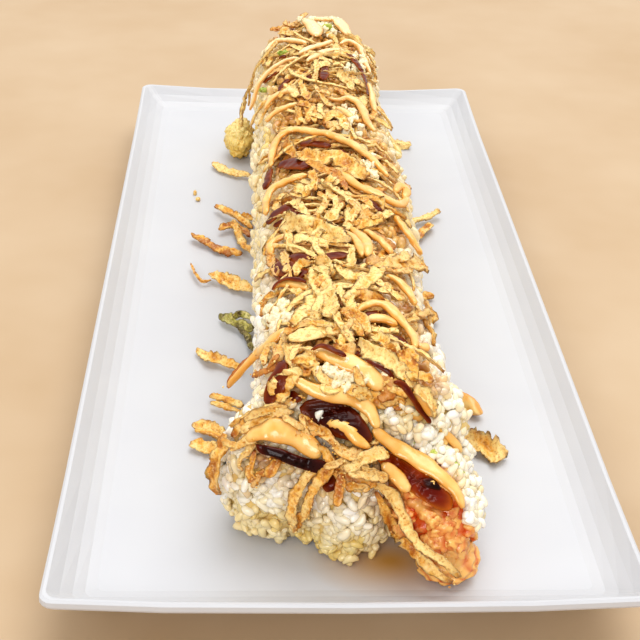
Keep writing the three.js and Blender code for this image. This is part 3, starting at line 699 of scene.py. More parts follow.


# Strips that the photograph shows one by one, in pixels read off it: width and lift off the
# food in millimetres, how far sauce has soaked them, and the pixels along the middle.
STRIPS = [
    # The far end
    (1.8, 1.4, 0.3, [(270, 30), (278, 29), (288, 27), (298, 25)]),
    (2.2, 1.4, 0.4, [(283, 24), (292, 25), (302, 24)]),
    (1.6, 1.6, 0.1, [(280, 36), (285, 30), (290, 34), (297, 33)]),
    (1.6, 2.0, 0.0, [(316, 60), (317, 70), (316, 82)]),
    (1.8, 2.0, 0.0, [(285, 85), (291, 90), (298, 97)]),
    (1.6, 2.2, 0.2, [(312, 84), (320, 94), (325, 101), (332, 108)]),
    (1.8, 2.0, 0.0, [(334, 44), (338, 52), (334, 60)]),
    (1.8, 2.2, 0.1, [(338, 72), (346, 80), (353, 90)]),
    (1.6, 2.0, 0.0, [(302, 84), (304, 92), (309, 100)]),
    (1.8, 2.0, 0.1, [(336, 88), (344, 94), (354, 96)]),
    (1.6, 1.2, 0.4, [(262, 82), (268, 76), (278, 70), (287, 66)]),
    (1.6, 2.2, 0.0, [(305, 106), (309, 113), (308, 122)]),
    (1.6, 2.2, 0.0, [(313, 104), (313, 112), (315, 122)]),
    (1.6, 2.2, 0.0, [(320, 104), (321, 112), (325, 118)]),
    (1.8, 2.0, 0.0, [(296, 108), (299, 116), (296, 124)]),
    (1.8, 2.2, 0.0, [(323, 123), (330, 116), (338, 116), (343, 122), (347, 131)]),
    (1.6, 2.0, 0.3, [(326, 127), (333, 124), (340, 130)]),
    # Behind the middle
    (3.6, 2.2, 0.0, [(299, 153), (310, 157), (321, 158), (332, 155), (343, 160), (354, 169), (366, 177)]),
    (1.6, 1.8, 0.3, [(304, 160), (318, 167), (332, 173), (342, 182), (346, 190)]),
    (3.4, 2.4, 0.0, [(325, 181), (330, 182), (336, 181)]),
    (1.5, 2.6, 0.0, [(322, 184), (333, 190), (344, 196), (353, 204), (361, 211)]),
    (1.8, 2.4, 0.1, [(312, 170), (314, 178), (315, 190)]),
    (1.5, 2.2, 0.1, [(330, 190), (327, 201), (321, 209), (315, 216)]),
    (1.8, 2.4, 0.0, [(345, 200), (336, 209), (327, 216)]),
    (2.2, 2.0, 0.0, [(294, 192), (302, 190), (309, 196)]),
    (2.0, 2.0, 0.0, [(286, 203), (294, 204), (303, 210)]),
    (2.0, 1.8, 0.0, [(349, 156), (356, 162), (364, 168)]),
    (1.8, 2.0, 0.0, [(359, 199), (367, 203), (373, 210)]),
    (1.8, 2.0, 0.1, [(350, 205), (350, 216), (354, 226)]),
    # The middle
    (4.8, 2.3, 0.0, [(284, 220), (295, 225), (308, 226), (322, 230), (335, 235), (348, 243)]),
    (2.6, 2.5, 0.0, [(313, 218), (325, 224), (336, 231), (345, 236)]),
    (2.6, 2.2, 0.0, [(293, 243), (304, 240), (316, 242), (328, 247)]),
    (2.0, 2.5, 0.0, [(341, 204), (334, 214), (324, 222)]),
    (2.2, 2.4, 0.1, [(352, 208), (350, 220), (344, 230)]),
    (2.4, 1.9, 0.3, [(354, 214), (366, 217), (380, 218)]),
    (2.4, 1.9, 0.0, [(352, 226), (366, 223), (382, 216)]),
    (1.6, 2.5, 0.0, [(351, 248), (352, 258), (354, 268)]),
    (1.8, 2.6, 0.0, [(337, 265), (342, 273), (350, 277), (360, 276), (368, 273)]),
    (2.2, 2.7, 0.0, [(384, 268), (374, 275), (364, 284), (354, 293), (346, 300)]),
    (3.4, 2.3, 0.0, [(315, 262), (322, 262), (328, 268), (330, 278)]),
    (3.2, 2.5, 0.0, [(322, 266), (323, 278), (326, 291), (331, 304), (333, 318)]),
    (1.8, 2.4, 0.0, [(314, 266), (313, 278), (316, 290), (322, 302), (321, 314)]),
    (1.5, 2.2, 0.0, [(312, 263), (303, 262), (297, 268), (296, 275)]),
    (2.8, 2.2, 0.0, [(291, 324), (300, 317), (310, 309), (315, 300), (318, 290)]),
    (2.0, 2.4, 0.0, [(332, 284), (338, 292), (346, 302), (350, 312)]),
    (2.0, 2.0, 0.0, [(300, 312), (310, 316), (322, 312)]),
    (2.6, 2.0, 0.5, [(366, 262), (378, 262), (390, 263)]),
    (2.8, 2.0, 0.2, [(374, 266), (390, 264), (404, 262), (416, 265), (426, 266)]),
    (1.6, 2.0, 0.3, [(384, 270), (396, 272), (412, 270)]),
    (2.0, 1.8, 0.2, [(350, 296), (362, 296), (376, 300), (386, 304)]),
    (1.4, 2.2, 0.0, [(373, 280), (383, 286), (393, 293), (404, 300)]),
    (2.0, 2.6, 0.0, [(334, 310), (338, 322), (345, 334), (352, 343)]),
    (1.8, 2.6, 0.1, [(340, 311), (350, 311), (360, 317), (366, 326), (368, 334)]),
    (1.5, 2.4, 0.1, [(345, 318), (352, 322), (359, 330), (363, 336)]),
    (1.4, 2.6, 0.4, [(341, 311), (352, 318), (362, 328)]),
    (2.0, 2.4, 0.2, [(326, 334), (335, 332), (340, 326)]),
    (1.0, 2.6, 0.0, [(369, 329), (380, 330), (399, 330)]),
    (2.0, 2.2, 0.0, [(372, 334), (382, 341), (392, 348), (400, 352)]),
    (1.6, 2.0, 0.3, [(380, 346), (388, 350), (396, 356)]),
    (2.4, 2.4, 0.0, [(360, 342), (372, 350), (384, 358), (395, 367), (404, 377), (414, 387)]),
    (2.2, 2.4, 0.0, [(414, 386), (423, 396), (430, 404), (434, 416)]),
    (2.0, 2.2, 0.0, [(398, 352), (406, 360), (412, 370), (414, 382)]),
    (1.8, 2.0, 0.0, [(404, 350), (412, 356), (416, 364)]),
    (2.0, 2.0, 0.3, [(336, 342), (346, 348), (356, 352)]),
    (2.4, 1.8, 0.1, [(289, 346), (289, 358), (294, 368)]),
    (3.2, 1.8, 0.1, [(297, 366), (290, 378), (282, 388), (273, 398)]),
    (1.6, 2.4, 0.0, [(306, 352), (313, 360), (317, 369), (324, 378), (334, 384)]),
    (1.3, 2.2, 0.1, [(302, 358), (300, 368), (306, 372), (312, 366)]),
    (1.8, 2.2, 0.1, [(296, 350), (306, 350), (314, 356)]),
    (1.8, 2.0, 0.0, [(339, 386), (350, 389), (361, 394), (372, 399)]),
    (1.8, 2.2, 0.1, [(352, 390), (366, 394), (380, 400), (392, 408)]),
    (2.0, 2.0, 0.8, [(377, 395), (388, 393), (400, 391), (410, 394)]),
    (1.4, 2.4, 0.3, [(380, 400), (392, 401), (399, 398), (399, 404), (394, 409)]),
    (1.6, 2.2, 0.1, [(372, 392), (380, 386), (390, 384), (398, 379)]),
    (1.2, 1.8, 0.1, [(264, 366), (265, 355), (269, 347), (275, 346), (275, 354)]),
    (2.2, 1.2, 0.2, [(283, 336), (283, 348), (278, 359), (269, 366)]),
    (1.5, 1.4, 0.8, [(254, 376), (264, 371), (279, 363)]),
    (1.6, 1.6, 0.3, [(299, 324), (292, 329), (284, 335)]),
    (1.2, 1.0, 1.0, [(264, 348), (254, 357), (245, 367), (236, 377), (228, 388)]),
    (1.8, 1.6, 0.0, [(274, 296), (284, 292), (296, 292), (306, 296)]),
    (1.6, 1.4, 0.5, [(268, 252), (272, 262), (279, 276)]),
    (1.8, 1.8, 0.1, [(287, 232), (289, 240), (288, 250)]),
    (1.5, 1.8, 0.2, [(283, 252), (286, 262), (288, 273)]),
    (1.4, 1.6, 0.1, [(262, 316), (264, 306), (270, 298), (277, 295)]),
    # The front end, from left to right
    (1.5, 1.6, 0.1, [(230, 427), (240, 420), (252, 416), (266, 411), (281, 406), (293, 401), (303, 396)]),
    (1.5, 1.4, 0.2, [(232, 437), (242, 428), (254, 421), (268, 416), (281, 413), (293, 413)]),
    (1.2, 2.0, 0.2, [(244, 421), (256, 415), (272, 409), (288, 405)]),
    (1.2, 1.6, 0.2, [(230, 449), (239, 445), (248, 440), (256, 442)]),
    (1.5, 1.6, 0.2, [(257, 443), (251, 449), (243, 457), (240, 464), (243, 471)]),
    (1.3, 1.4, 0.2, [(254, 450), (253, 461), (250, 471), (254, 480), (258, 485)]),
    (1.0, 1.2, 0.5, [(252, 480), (261, 473), (272, 472)]),
    (2.2, 1.2, 0.1, [(272, 462), (278, 458), (285, 456)]),
    (1.3, 1.8, 0.6, [(285, 422), (297, 432), (308, 442), (317, 451)]),
    (1.2, 2.4, 0.2, [(300, 414), (304, 428), (311, 441), (322, 449)]),
    (1.7, 2.6, 0.1, [(318, 446), (328, 455), (331, 466), (323, 477), (316, 488), (310, 500), (305, 512),
                     (299, 524), (295, 531)]),
    (1.7, 2.0, 0.1, [(318, 466), (310, 474), (302, 484), (297, 495), (293, 507), (292, 519), (296, 531)]),
    (1.4, 2.4, 0.2, [(301, 416), (311, 424), (321, 432), (331, 440), (338, 449), (341, 458)]),
    (1.3, 2.8, 0.3, [(308, 421), (318, 429), (328, 437), (335, 446)]),
    (2.4, 2.0, 0.3, [(334, 451), (344, 455), (354, 457), (364, 458)]),
    (2.2, 2.0, 0.2, [(334, 456), (336, 466), (341, 476), (345, 481)]),
    (2.0, 2.8, 0.1, [(344, 471), (358, 463), (372, 457), (389, 453)]),
    (1.8, 2.6, 0.2, [(347, 470), (361, 473), (375, 476), (388, 477)]),
    (2.4, 2.0, 0.3, [(337, 475), (351, 480), (365, 482), (376, 484)]),
    (1.6, 2.4, 0.2, [(340, 462), (350, 466), (362, 469), (376, 470)]),
    (1.4, 2.4, 0.3, [(345, 484), (357, 487), (370, 488)]),
    (1.7, 2.0, 0.1, [(372, 484), (385, 490), (393, 498), (399, 511), (405, 524), (413, 536), (426, 548),
                     (438, 556), (450, 566), (460, 577)]),
    (1.5, 1.4, 0.1, [(376, 492), (381, 503), (388, 518), (395, 532), (405, 542), (417, 555), (428, 566),
                     (441, 576), (453, 582)]),
]
# Loops that lie flat on the heap, and broad flakes: middle pixel, lift, half sizes, and turn.
RINGS = [
    ((307, 73), 1.8, 2.2, 2.4, 80), ((302, 268), 2.2, 1.6, 1.4, 0), ((331, 388), 2.8, 1.8, 1.2, 20),
    ((308, 363), 2.4, 1.0, 1.4, 70), ((355, 323), 2.0, 3.8, 1.5, -48), ((372, 440), 1.4, 1.2, 0.9, 0),
]
FLAKES = [
    ((312, 332), 2.4, 5.6, 2.8, 36), ((330, 182), 2.6, 2.4, 2.0, 0), ((372, 306), 2.0, 3.4, 1.8, 10),
    ((305, 250), 1.4, 3.6, 2.2, 0), ((330, 252), 1.4, 4.4, 2.4, -10),
]
# Crisps that hang down the roll's sides: width, twist and points in millimetres.
HANGING_STRIPS = [
    (3.1, (0, 12), [(-23.4, -105, 34.4), (-24.6, -107.4, 31), (-25.2, -108.2, 26.4), (-24.6, -108.4, 22.4)]),
    (2.2, (0, 20), [(-18.6, 82, 35.5), (-20.4, 82, 31), (-21.6, 81.6, 25.5), (-21.8, 81.2, 21.2)]),
    (1.8, (10, 0), [(-18.0, 87, 36.5), (-19.0, 86, 32), (-19.6, 85, 27)]),
]
HANGING_LOOK = {"thickness": 0.6, "pitch": 0.38, "shade": 0.3}
# The spread of how far a strip is twisted, in degrees, and how fine its mesh is along it.
STRIP_TWIST, STRIP_PITCH = 24, 0.42
# The crisps that a rule scatters over the roll: how many in all, and how many of them are long and thin.
SCATTERED, LONG_THIN = 200, 65
# The range of their middles in Y, and of their ends.
SCATTER_Y, SCATTER_ENDS = (-98, 102), (-106, 103)
# The range and the spread of their middles in degrees from the crown.
SCATTER_DEGREES, SCATTER_SPREAD = (-46, 50), 22
# The long thin ones and the others: range of lengths, range of widths, and levels over the skin.
THIN_KIND = (14, 27), (1.0, 1.8), [1.5, 1.9, 2.3]
BROAD_KIND = (7, 18), (1.4, 2.8), [0.3, 0.8, 1.3]
# The painted shade of one that lies on the skin, and how much less for each millimetre over it.
PAINTED_SCATTERED_SHADE = 0.3, 0.2
SCATTERED_LOOK = {"thickness": 0.6, "columns": 4, "pitch": 0.68}
# How far it is twisted at its start, and the spread of how much farther it twists, in degrees.
START_TWIST, MORE_TWIST = 25, 20
# How far strips face the camera as well as outwards, and the heap's middle, which that is taken from.
TOWARDS_CAMERA, HEAP_MIDDLE = 0.8, (0, 0, 40)
# Strips with so many pixels may have a side arm.
BRANCHED_LENGTHS = range(3, 7)
# Crumbs on each strip, and how far off its middle they stick.
CRUMBS_EACH, CRUMBS_OFF = 8, 0.4


def level_way(degrees):
    """The level direction at that many degrees from X."""
    turn = np.radians(degrees)
    return np.array([math.cos(turn), math.sin(turn), 0.0])


def rim_tint(sides, power):
    """For each side of a flat band: 1 at its two edges and 0 in its middle."""
    return np.abs(np.cos(np.arange(sides) * 2 * np.pi / sides)) ** power


def add_ring(batch, spot, lift, long, wide, degrees, rng):
    """A strip bent round into a loop that lies flat on the heap."""
    centre = on_food([spot], lift)[0]
    turn = np.linspace(0.3, 2 * np.pi - 0.1, 16)
    line = np.outer(long * np.cos(turn), level_way(degrees))
    line += np.outer(wide * np.sin(turn), level_way(degrees + 90))
    line[:, 2] = 0.3 * np.sin(turn)
    add_crisp(batch, line + centre, 1.0, rng, thickness=0.9, ups=(0, 0, 1))


def add_flake(batch, spot, lift, long, wide, degrees, rng, count=21, sides=24, thickness=0.8):
    """A thin oval flake, a little dished, with a broken brown rim."""
    centre = on_food([spot], lift)[0]
    share = np.linspace(-0.98, 0.98, count)
    line = centre + share[:, None] * level_way(degrees) * long
    line[:, 2] += 0.5 * share**2 - 0.2
    normal = unit(outward(centre[None]) + np.array([0, 0, 1.0]))
    widths = 2 * wide * np.sqrt(1 - share**2) * (1 + 0.08 * wobble(line, 3.0, 17))
    rings = sweep(line, np.broadcast_to(normal, line.shape), widths, np.full(count, thickness), sides)
    rings += normal * (0.12 * wobble(rings, 1.8, 71) + rng.normal(0, 0.05, rings.shape[:2]))[..., None]
    keep_height(rings, -np.inf, TOP)
    edge = np.broadcast_to(rim_tint(sides, 8), rings.shape[:2])
    batch.loft(rings, np.stack([0 * edge + 0.05, 0.5 * edge, 0 * edge], -1))


def add_scattered_crisp(batch, thin, rng):
    """One crisp of the heap, at a random place and bent at random."""
    lengths, widths, levels = THIN_KIND if thin else BROAD_KIND
    share = np.linspace(-0.5, 0.5, 7)
    y = rng.uniform(*SCATTER_Y)
    degrees = np.clip(rng.normal(0, SCATTER_SPREAD), *SCATTER_DEGREES)
    step = rng.uniform(*lengths) / (len(share) - 1)
    turn = rng.uniform(0, np.pi) + rng.normal(0, 1.2) * share
    across, forwards = np.cumsum(np.cos(turn)) * step, np.cumsum(np.sin(turn)) * step
    level = rng.choice(levels)
    lift = np.maximum(level + rng.uniform(-0.4, 0.6) * (1 - 4 * share**2), 0.2)
    ys = np.clip(y + forwards - forwards.mean(), *SCATTER_ENDS)
    line = skin(degrees + (across - across.mean()) * DEGREES_PER_MM, ys, lift)
    start = rng.uniform(-START_TWIST, START_TWIST)
    soaked = 0.0 if thin else np.clip(rng.normal(0.1, 0.3) - 0.2 * (y > 20), 0, 1)
    twist = (start, start + rng.normal(0, MORE_TWIST))
    width = rng.uniform(*widths)
    # Painted shade: crisps deeper in the heap are darker.
    shade = PAINTED_SCATTERED_SHADE[0] - PAINTED_SCATTERED_SHADE[1] * level
    add_crisp(batch, line, width, rng, twist=twist, soaked=soaked, shade=shade, **SCATTERED_LOOK)


def sprinkle_crumbs(batch, strips, rng, each):
    """Grains of batter that stick to the strips."""
    small, triangles = grain_shape(5, 3)
    for line in strips:
        spots = line[rng.integers(0, len(line), each)] + rng.normal(0, 0.5, (each, 3))
        sizes = rng.uniform(0.12, 0.3, (each, 3))
        points = small[None] * sizes[:, None] + spots[:, None]
        keep_height(points)
        batch.add_copies(points, triangles, rng.uniform(0, 0.9, (each, 1)) * np.array([1.0, 0.0, 0.0]))


def make_crisps(materials, slices):
    rng = np.random.default_rng(SEEDS["crisps"])
    batch, lines = Batch(), []
    ahead = unit(EYE - np.array(HEAP_MIDDLE))
    for width, lift, soaked, pixels in STRIPS:
        line = on_food(pixels, lift + HEAP_LIFT)
        fine = spline(line, BRANCH_POINTS)
        ups = unit(outward(fine) + TOWARDS_CAMERA * ahead)
        broad = width * WIDER
        # Painted shade: strips that lie lower in the heap are darker.
        look = {"shade": PAINTED_HEAP_SHADE * (HEAP_LEVEL - lift), "soaked": soaked, "pitch": STRIP_PITCH}
        add_crisp(batch, line, broad, rng, twist=rng.normal(0, STRIP_TWIST, 2), ups=ups.mean(0), **look)
        if rng.random() < BRANCHED and len(pixels) in BRANCHED_LENGTHS:
            add_branch(batch, line, broad, rng, ups, soaked)
        lines.append(fine + CRUMBS_OFF * outward(fine))
    for width, twist, line in HANGING_STRIPS:
        add_crisp(batch, line, width, rng, twist=twist, **HANGING_LOOK)
    for ring in RINGS:
        add_ring(batch, *ring, rng)
    for flake in FLAKES:
        add_flake(batch, *flake, rng)
    batch.make("crisps_on_top", materials["crisp"], slices, "crisp")
    batch = Batch()
    for number in range(SCATTERED):
        add_scattered_crisp(batch, number < LONG_THIN, rng)
    batch.make("crisps_in_heap", materials["crisp"], slices, "crisp")
    batch = Batch()
    sprinkle_crumbs(batch, lines, rng, CRUMBS_EACH)
    batch.make("crumbs_on_crisps", materials["crisp"], slices, "crisp")


# The mayonnaise and the dark sauce

# Bands of mayonnaise, in pixels read off the photograph: width and lift in millimetres.
MAYONNAISE = [
    # The far end
    (2.1, 1.8, [(250, 110), (254, 99), (258, 86), (263, 78), (271, 70), (280, 64), (289, 60), (299, 58)]),
    (2.1, 1.8, [(266, 54), (270, 46), (277, 41), (286, 40), (296, 41), (306, 43)]),
    (2.3, 1.6, [(293, 33), (298, 32)]),
    (2.3, 2.0, [(299, 54), (308, 49), (317, 46), (325, 44), (332, 41)]),
    (2.3, 2.0, [(307, 61), (314, 57), (321, 53), (329, 51), (338, 50), (345, 52)]),
    (2.1, 1.8, [(340, 44), (347, 41), (354, 43), (360, 48), (364, 56), (366, 64), (370, 73)]),
    (1.8, 1.6, [(368, 80), (371, 90), (373, 102), (375, 112)]),
    (4.4, 1.6, [(303, 20), (309, 22), (314, 28), (317, 36)]),
    (4.6, 1.6, [(330, 16), (337, 20), (343, 27), (348, 35)]),
    (3.9, 2.6, [(312, 15), (322, 15), (334, 16)]),
    (2.3, 2.0, [(265, 109), (269, 102), (275, 96), (282, 93), (290, 91), (298, 94)]),
    (2.2, 2.0, [(266, 122), (271, 116), (279, 110), (287, 107), (296, 104)]),
    (2.3, 1.8, [(327, 98), (338, 100), (348, 98), (357, 102), (363, 110), (367, 121), (374, 131)]),
    (2.2, 1.6, [(336, 108), (345, 112), (352, 118)]),
    # Behind the middle
    (2.7, 2.2, [(271, 166), (272, 154), (275, 143), (281, 135), (291, 130), (304, 130), (317, 132),
                (329, 134), (341, 139), (352, 144), (362, 151), (371, 158), (379, 166), (388, 176)]),
    (2.6, 2.0, [(266, 214), (266, 204), (268, 195), (273, 188), (282, 183), (292, 179), (301, 176),
                (309, 175)]),
    (2.6, 2.0, [(340, 170), (349, 179), (358, 186), (369, 190), (381, 196), (392, 202), (402, 204),
                (408, 197)]),
    (2.3, 1.8, [(395, 192), (400, 186), (407, 190), (404, 198)]),
    # The middle
    (1.8, 2.2, [(344, 232), (353, 237), (359, 245), (362, 256)]),
    (2.3, 2.2, [(350, 228), (360, 235), (367, 244), (368, 256)]),
    (2.0, 1.6, [(272, 254), (270, 246), (276, 240), (287, 236)]),
    (1.9, 1.6, [(364, 230), (374, 236), (384, 244), (392, 254)]),
    (2.2, 1.4, [(395, 216), (404, 228), (413, 241), (421, 255)]),
    (2.4, 1.8, [(273, 290), (278, 285), (286, 283), (297, 285), (308, 289)]),
    (2.2, 1.8, [(386, 276), (396, 279), (405, 288), (412, 298), (415, 304)]),
    (2.2, 2.0, [(356, 312), (366, 305), (378, 303), (389, 307), (398, 317), (407, 327), (414, 338),
                (415, 348)]),
    (2.0, 1.6, [(366, 321), (376, 318), (388, 320), (397, 326)]),
    (2.2, 1.2, [(417, 344), (422, 348), (428, 346)]),
    (3.8, 1.8, [(312, 351), (324, 353), (336, 357), (348, 362), (358, 367), (368, 374), (376, 382),
                (384, 387)]),
    (2.8, 1.6, [(395, 396), (405, 401), (414, 409), (422, 420)]),
    (2.4, 1.6, [(410, 384), (420, 394), (428, 405), (432, 416)]),
    # The front end
    (3.2, 3.2, [(293, 377), (302, 384), (314, 390), (328, 393), (344, 396), (360, 402), (371, 412),
                (377, 428)]),
    (3.2, 2.2, [(373, 429), (386, 440), (400, 449), (414, 457), (428, 466), (441, 476), (452, 486),
                (459, 497), (463, 508)]),
    (4.2, 2.0, [(247, 440), (257, 432), (269, 429), (283, 432), (296, 438), (309, 446), (321, 456)]),
    (2.0, 2.8, [(327, 424), (338, 424), (349, 430), (358, 440), (370, 448)]),
    (2.6, 2.0, [(382, 464), (392, 472), (401, 481), (408, 492)]),
    (1.8, 1.2, [(434, 423), (442, 430), (452, 440), (462, 452)]),
    (2.4, 1.4, [(438, 438), (446, 446)]),
]
# The strip coated in mayonnaise that hangs at the left, from the top to its brown tip.
COATED_STRIP = {
    "widths": (2.6, 3.6, 3.2, 2.0, 0.8), "height": 1.5, "lift": 1.6,
    "pixels": [(289, 329), (280, 334), (268, 344), (256, 355), (244, 368), (235, 378), (228, 387)],
}
# Dark sauce, in pixels of the photograph: width and lift in millimetres. Strokes that touch make a pool.
SAUCE = [
    (2.2, 2.2, [(344, 53), (352, 58), (357, 64), (362, 71)]),
    (1.4, 2.2, [(361, 70), (365, 79), (368, 88), (368, 96)]),
    (3.0, 1.8, [(322, 62), (324, 70), (323, 80)]),
    (1.8, 1.0, [(304, 72), (307, 78), (310, 74)]),
    (1.6, 1.0, [(264, 83), (272, 76), (284, 68)]),
    (1.8, 0.8, [(279, 92), (283, 84), (290, 80)]),
    (1.6, 1.0, [(279, 58), (286, 56)]),
    (3.2, 1.6, [(300, 145), (310, 143), (320, 144), (330, 147)]),
    (1.8, 0.9, [(340, 150), (350, 156), (360, 162)]),
    (5.4, 1.7, [(278, 166), (288, 163), (298, 164), (307, 168)]),
    (3.0, 1.2, [(266, 188), (268, 178), (270, 170)]),
    (1.6, 1.2, [(324, 190), (330, 197), (334, 204)]),
    (2.2, 1.2, [(340, 200), (346, 210), (342, 222)]),
    (2.0, 1.0, [(369, 200), (376, 206), (380, 212)]),
    (4.2, 1.8, [(268, 224), (276, 214), (287, 209), (298, 214)]),
    (2.2, 1.0, [(274, 226), (284, 222), (292, 226)]),
    (4.0, 1.5, [(290, 256), (300, 258), (308, 262)]),
    (4.6, 1.5, [(273, 266), (283, 268), (293, 272), (304, 276)]),
    (2.6, 0.9, [(270, 258), (276, 268), (283, 280)]),
    (3.0, 1.4, [(310, 254), (322, 258), (336, 256), (348, 254)]),
    (1.2, 3.0, [(272, 289), (277, 283), (285, 279), (295, 279), (306, 282)]),
    (2.2, 0.9, [(362, 316), (372, 314), (380, 312)]),
    (3.0, 0.8, [(384, 338), (396, 340), (406, 346)]),
    (1.6, 1.2, [(344, 346), (354, 352), (364, 356)]),
    (1.3, 3.2, [(311, 350), (322, 346), (334, 350), (346, 356)]),
    (1.0, 2.8, [(366, 360), (378, 366), (388, 372), (394, 379)]),
    (1.4, 4.0, [(394, 382), (402, 384), (408, 391), (414, 400), (420, 410), (426, 417), (431, 423)]),
    (3.6, 1.8, [(284, 360), (281, 370), (278, 382), (272, 394), (268, 404)]),
    (2.0, 1.2, [(287, 330), (293, 326)]),
    (1.6, 1.2, [(290, 392), (296, 398), (302, 396)]),
    # The front end
    (3.4, 1.4, [(326, 476), (330, 484), (334, 490)]),
]
# Pools of dark sauce: lift and height in millimetres, how thin it looks, and the outline in pixels.
POOLS = [
    (2.7, 1.2, 0.1, [(300, 408), (307, 401), (320, 399), (333, 400), (345, 404), (355, 410), (362, 418),
                     (369, 429), (372, 440), (362, 444), (348, 440), (334, 436), (322, 432), (310, 424),
                     (303, 416)]),
    (2.7, 0.9, 0.0, [(256, 444), (268, 446), (282, 449), (296, 455), (309, 459), (321, 460), (330, 466),
                     (328, 474), (316, 473), (302, 469), (288, 464), (273, 457), (260, 453)]),
    (1.9, 0.9, 0.75, [(376, 449), (388, 452), (402, 460), (416, 468), (430, 477), (443, 487), (452, 499),
                      (450, 510), (438, 509), (424, 501), (411, 492), (398, 481), (386, 469),
                      (377, 458)]),
    (2.5, 0.7, 0.0, [(421, 479), (430, 478), (438, 484), (440, 490), (431, 489), (423, 486)]),
]
# How far all sauces are lifted, and for each kind of band how its width runs along it, and how thick it
# is: a share of its width, up to a limit.
SAUCE_LIFT = 0.6
MAYONNAISE_WIDTHS, MAYONNAISE_HEIGHT = np.array([0.7, 1.0, 1.15, 1.0, 0.7]), (0.7, 1.4)
SAUCE_WIDTHS, SAUCE_HEIGHT = np.array([0.7, 1.0, 1.0, 0.8]), (0.5, 1.0)
# How a band swells along its way and how its surface drifts: height, size and number.
SWELL, SURFACE = [(0.12, 7.0, 0)], [(0.1, 2.5, 1)]
# The outline of a pool has this many points. Its underside lies this far under the sauce's own height.
POOL_POINTS, POOL_DEPTH = 48, 0.8
# The bubbles in the front pool, with their middle and spread in pixels and their smallest and largest size.
BUBBLES = {"count": 24, "middle": (331, 413), "spread": (6, 4), "lift": 3.1, "size": (0.15, 0.4)}


def add_band(batch, line, widths, height, rng, sides=16, pitch=0.7, thin=0.5):
    """A soft rounded band of sauce along a line, a little uneven."""
    count = max(10, round(run_along(line)[-1] / pitch))
    line = spline(line, count)
    share = np.linspace(0, 1, count)
    widths = np.interp(share, np.linspace(0, 1, len(widths)), widths)
    seed = new_seed(rng)
    swell = 1 + wobbles(line, SWELL, seed)
    tip = np.sqrt(1 - np.abs(2 * share - 1) ** 10 * 0.8)
    rings = sweep(line, outward(line), widths * swell * tip, height * (0.6 + 0.4 * swell) * tip, sides)
    rings += outward(line)[:, None] * wobbles(rings, SURFACE, seed)[..., None]
    keep_height(rings, BASE - 0.2)
    # The sides of a band are tinted: in mayonnaise orange, partly where it thins over the food and partly
    # painted shade where it turns down; in dark sauce its thin rim.
    edge = np.broadcast_to(rim_tint(sides, 3), rings.shape[:2])
    batch.loft(rings, np.stack([0 * edge + thin, edge, fade(rings[..., 1], *PALE)], -1))


def add_pool(batch, outline, lift, height, thin, under=12, over=16):
    """A pool of sauce inside a closed outline given in pixels, thickest in its middle.

    Its rings run from the middle of the underside to the rim, and back over the dome.
    """
    outline = np.asarray(outline, float)
    loop = spline(np.vstack([outline, outline[:1]]), POOL_POINTS + 1)[:-1]
    middle = loop.mean(0)
    shares = np.concatenate([np.linspace(0.08, 1, under), np.linspace(1.02, 0.05, over)])
    dome = np.sqrt(np.clip(1 - np.linspace(1, 0.05, over) ** 2, 0, 1))
    rises = np.concatenate([np.full(under, -POOL_DEPTH), height * dome])
    rings = np.stack([on_food(middle + (loop - middle) * share, lift) for share in shares])
    rings += outward(rings) * rises[:, None, None]
    keep_height(rings)
    shares = np.broadcast_to(np.clip(shares, 0, 1)[:, None], rings.shape[:2])
    batch.loft(rings, np.stack([thin * (0.35 + 0.65 * shares), 0.8 * shares**6, 0 * shares], -1))


def make_sauces(materials, slices):
    rng = np.random.default_rng(SEEDS["sauces"])
    batch = Batch()
    share, most = MAYONNAISE_HEIGHT
    for width, lift, pixels in MAYONNAISE:
        line = on_food(pixels, lift + SAUCE_LIFT, 2)
        add_band(batch, line, width * MAYONNAISE_WIDTHS, min(most, share * width), rng)
    line = on_food(COATED_STRIP["pixels"], COATED_STRIP["lift"])
    add_band(batch, line, COATED_STRIP["widths"], COATED_STRIP["height"], rng)
    batch.make("mayonnaise", materials["mayonnaise"], slices, "mayonnaise")
    batch = Batch()
    share, most = SAUCE_HEIGHT
    for width, lift, pixels in SAUCE:
        line = on_food(pixels, lift + SAUCE_LIFT)
        height = min(most, share * width)
        add_band(batch, line, width * SAUCE_WIDTHS, height, rng, sides=18, pitch=0.5, thin=0.25)
    for lift, height, thin, outline in POOLS:
        add_pool(batch, outline, lift, height, thin)
    batch.make("dark_sauce", materials["sauce"], slices)
    batch = Batch()
    ball, triangles = grain_shape(8, 6)
    apart = rng.normal(size=(BUBBLES["count"], 2)) * np.array(BUBBLES["spread"])
    for spot in on_food(np.array(BUBBLES["middle"]) + apart, BUBBLES["lift"] + SAUCE_LIFT):
        batch.add(ball * rng.uniform(*BUBBLES["size"]) + spot, triangles, (0.1, 0.0, 0.0))
    batch.make("sauce_bubbles", materials["sauce"], slices)


# The prawn

# Its rows and sides, how many rows at its hidden end have no knobbly lumps, and the way up it.
PRAWN_ROWS, PRAWN_SIDES, BARE_ROWS, PRAWN_UP = 100, 84, 12, (0, -0.6, 0.8)
# It gets redder from its hidden end to the tip of its tail, over that length in Y.
PRAWN_LENGTH = 24
# Its batter in layers of round lumps: their size, how far they stand out, and how many there are.
PRAWN_BATTER = [(2.8, 1.5, 110), (1.1, 0.55, 700)]
BLADE_BATTER = [(2.0, 1.1, 26), (0.9, 0.6, 120)]
# The knobbly lumps on it: how many, their smallest and largest half sizes, and how rough they are.
PRAWN_LUMPS, LUMP_HALF, LUMP_RIDGES = 150, ([1.3, 0.9, 0.8], [3.0, 1.9, 1.5]), 0.28
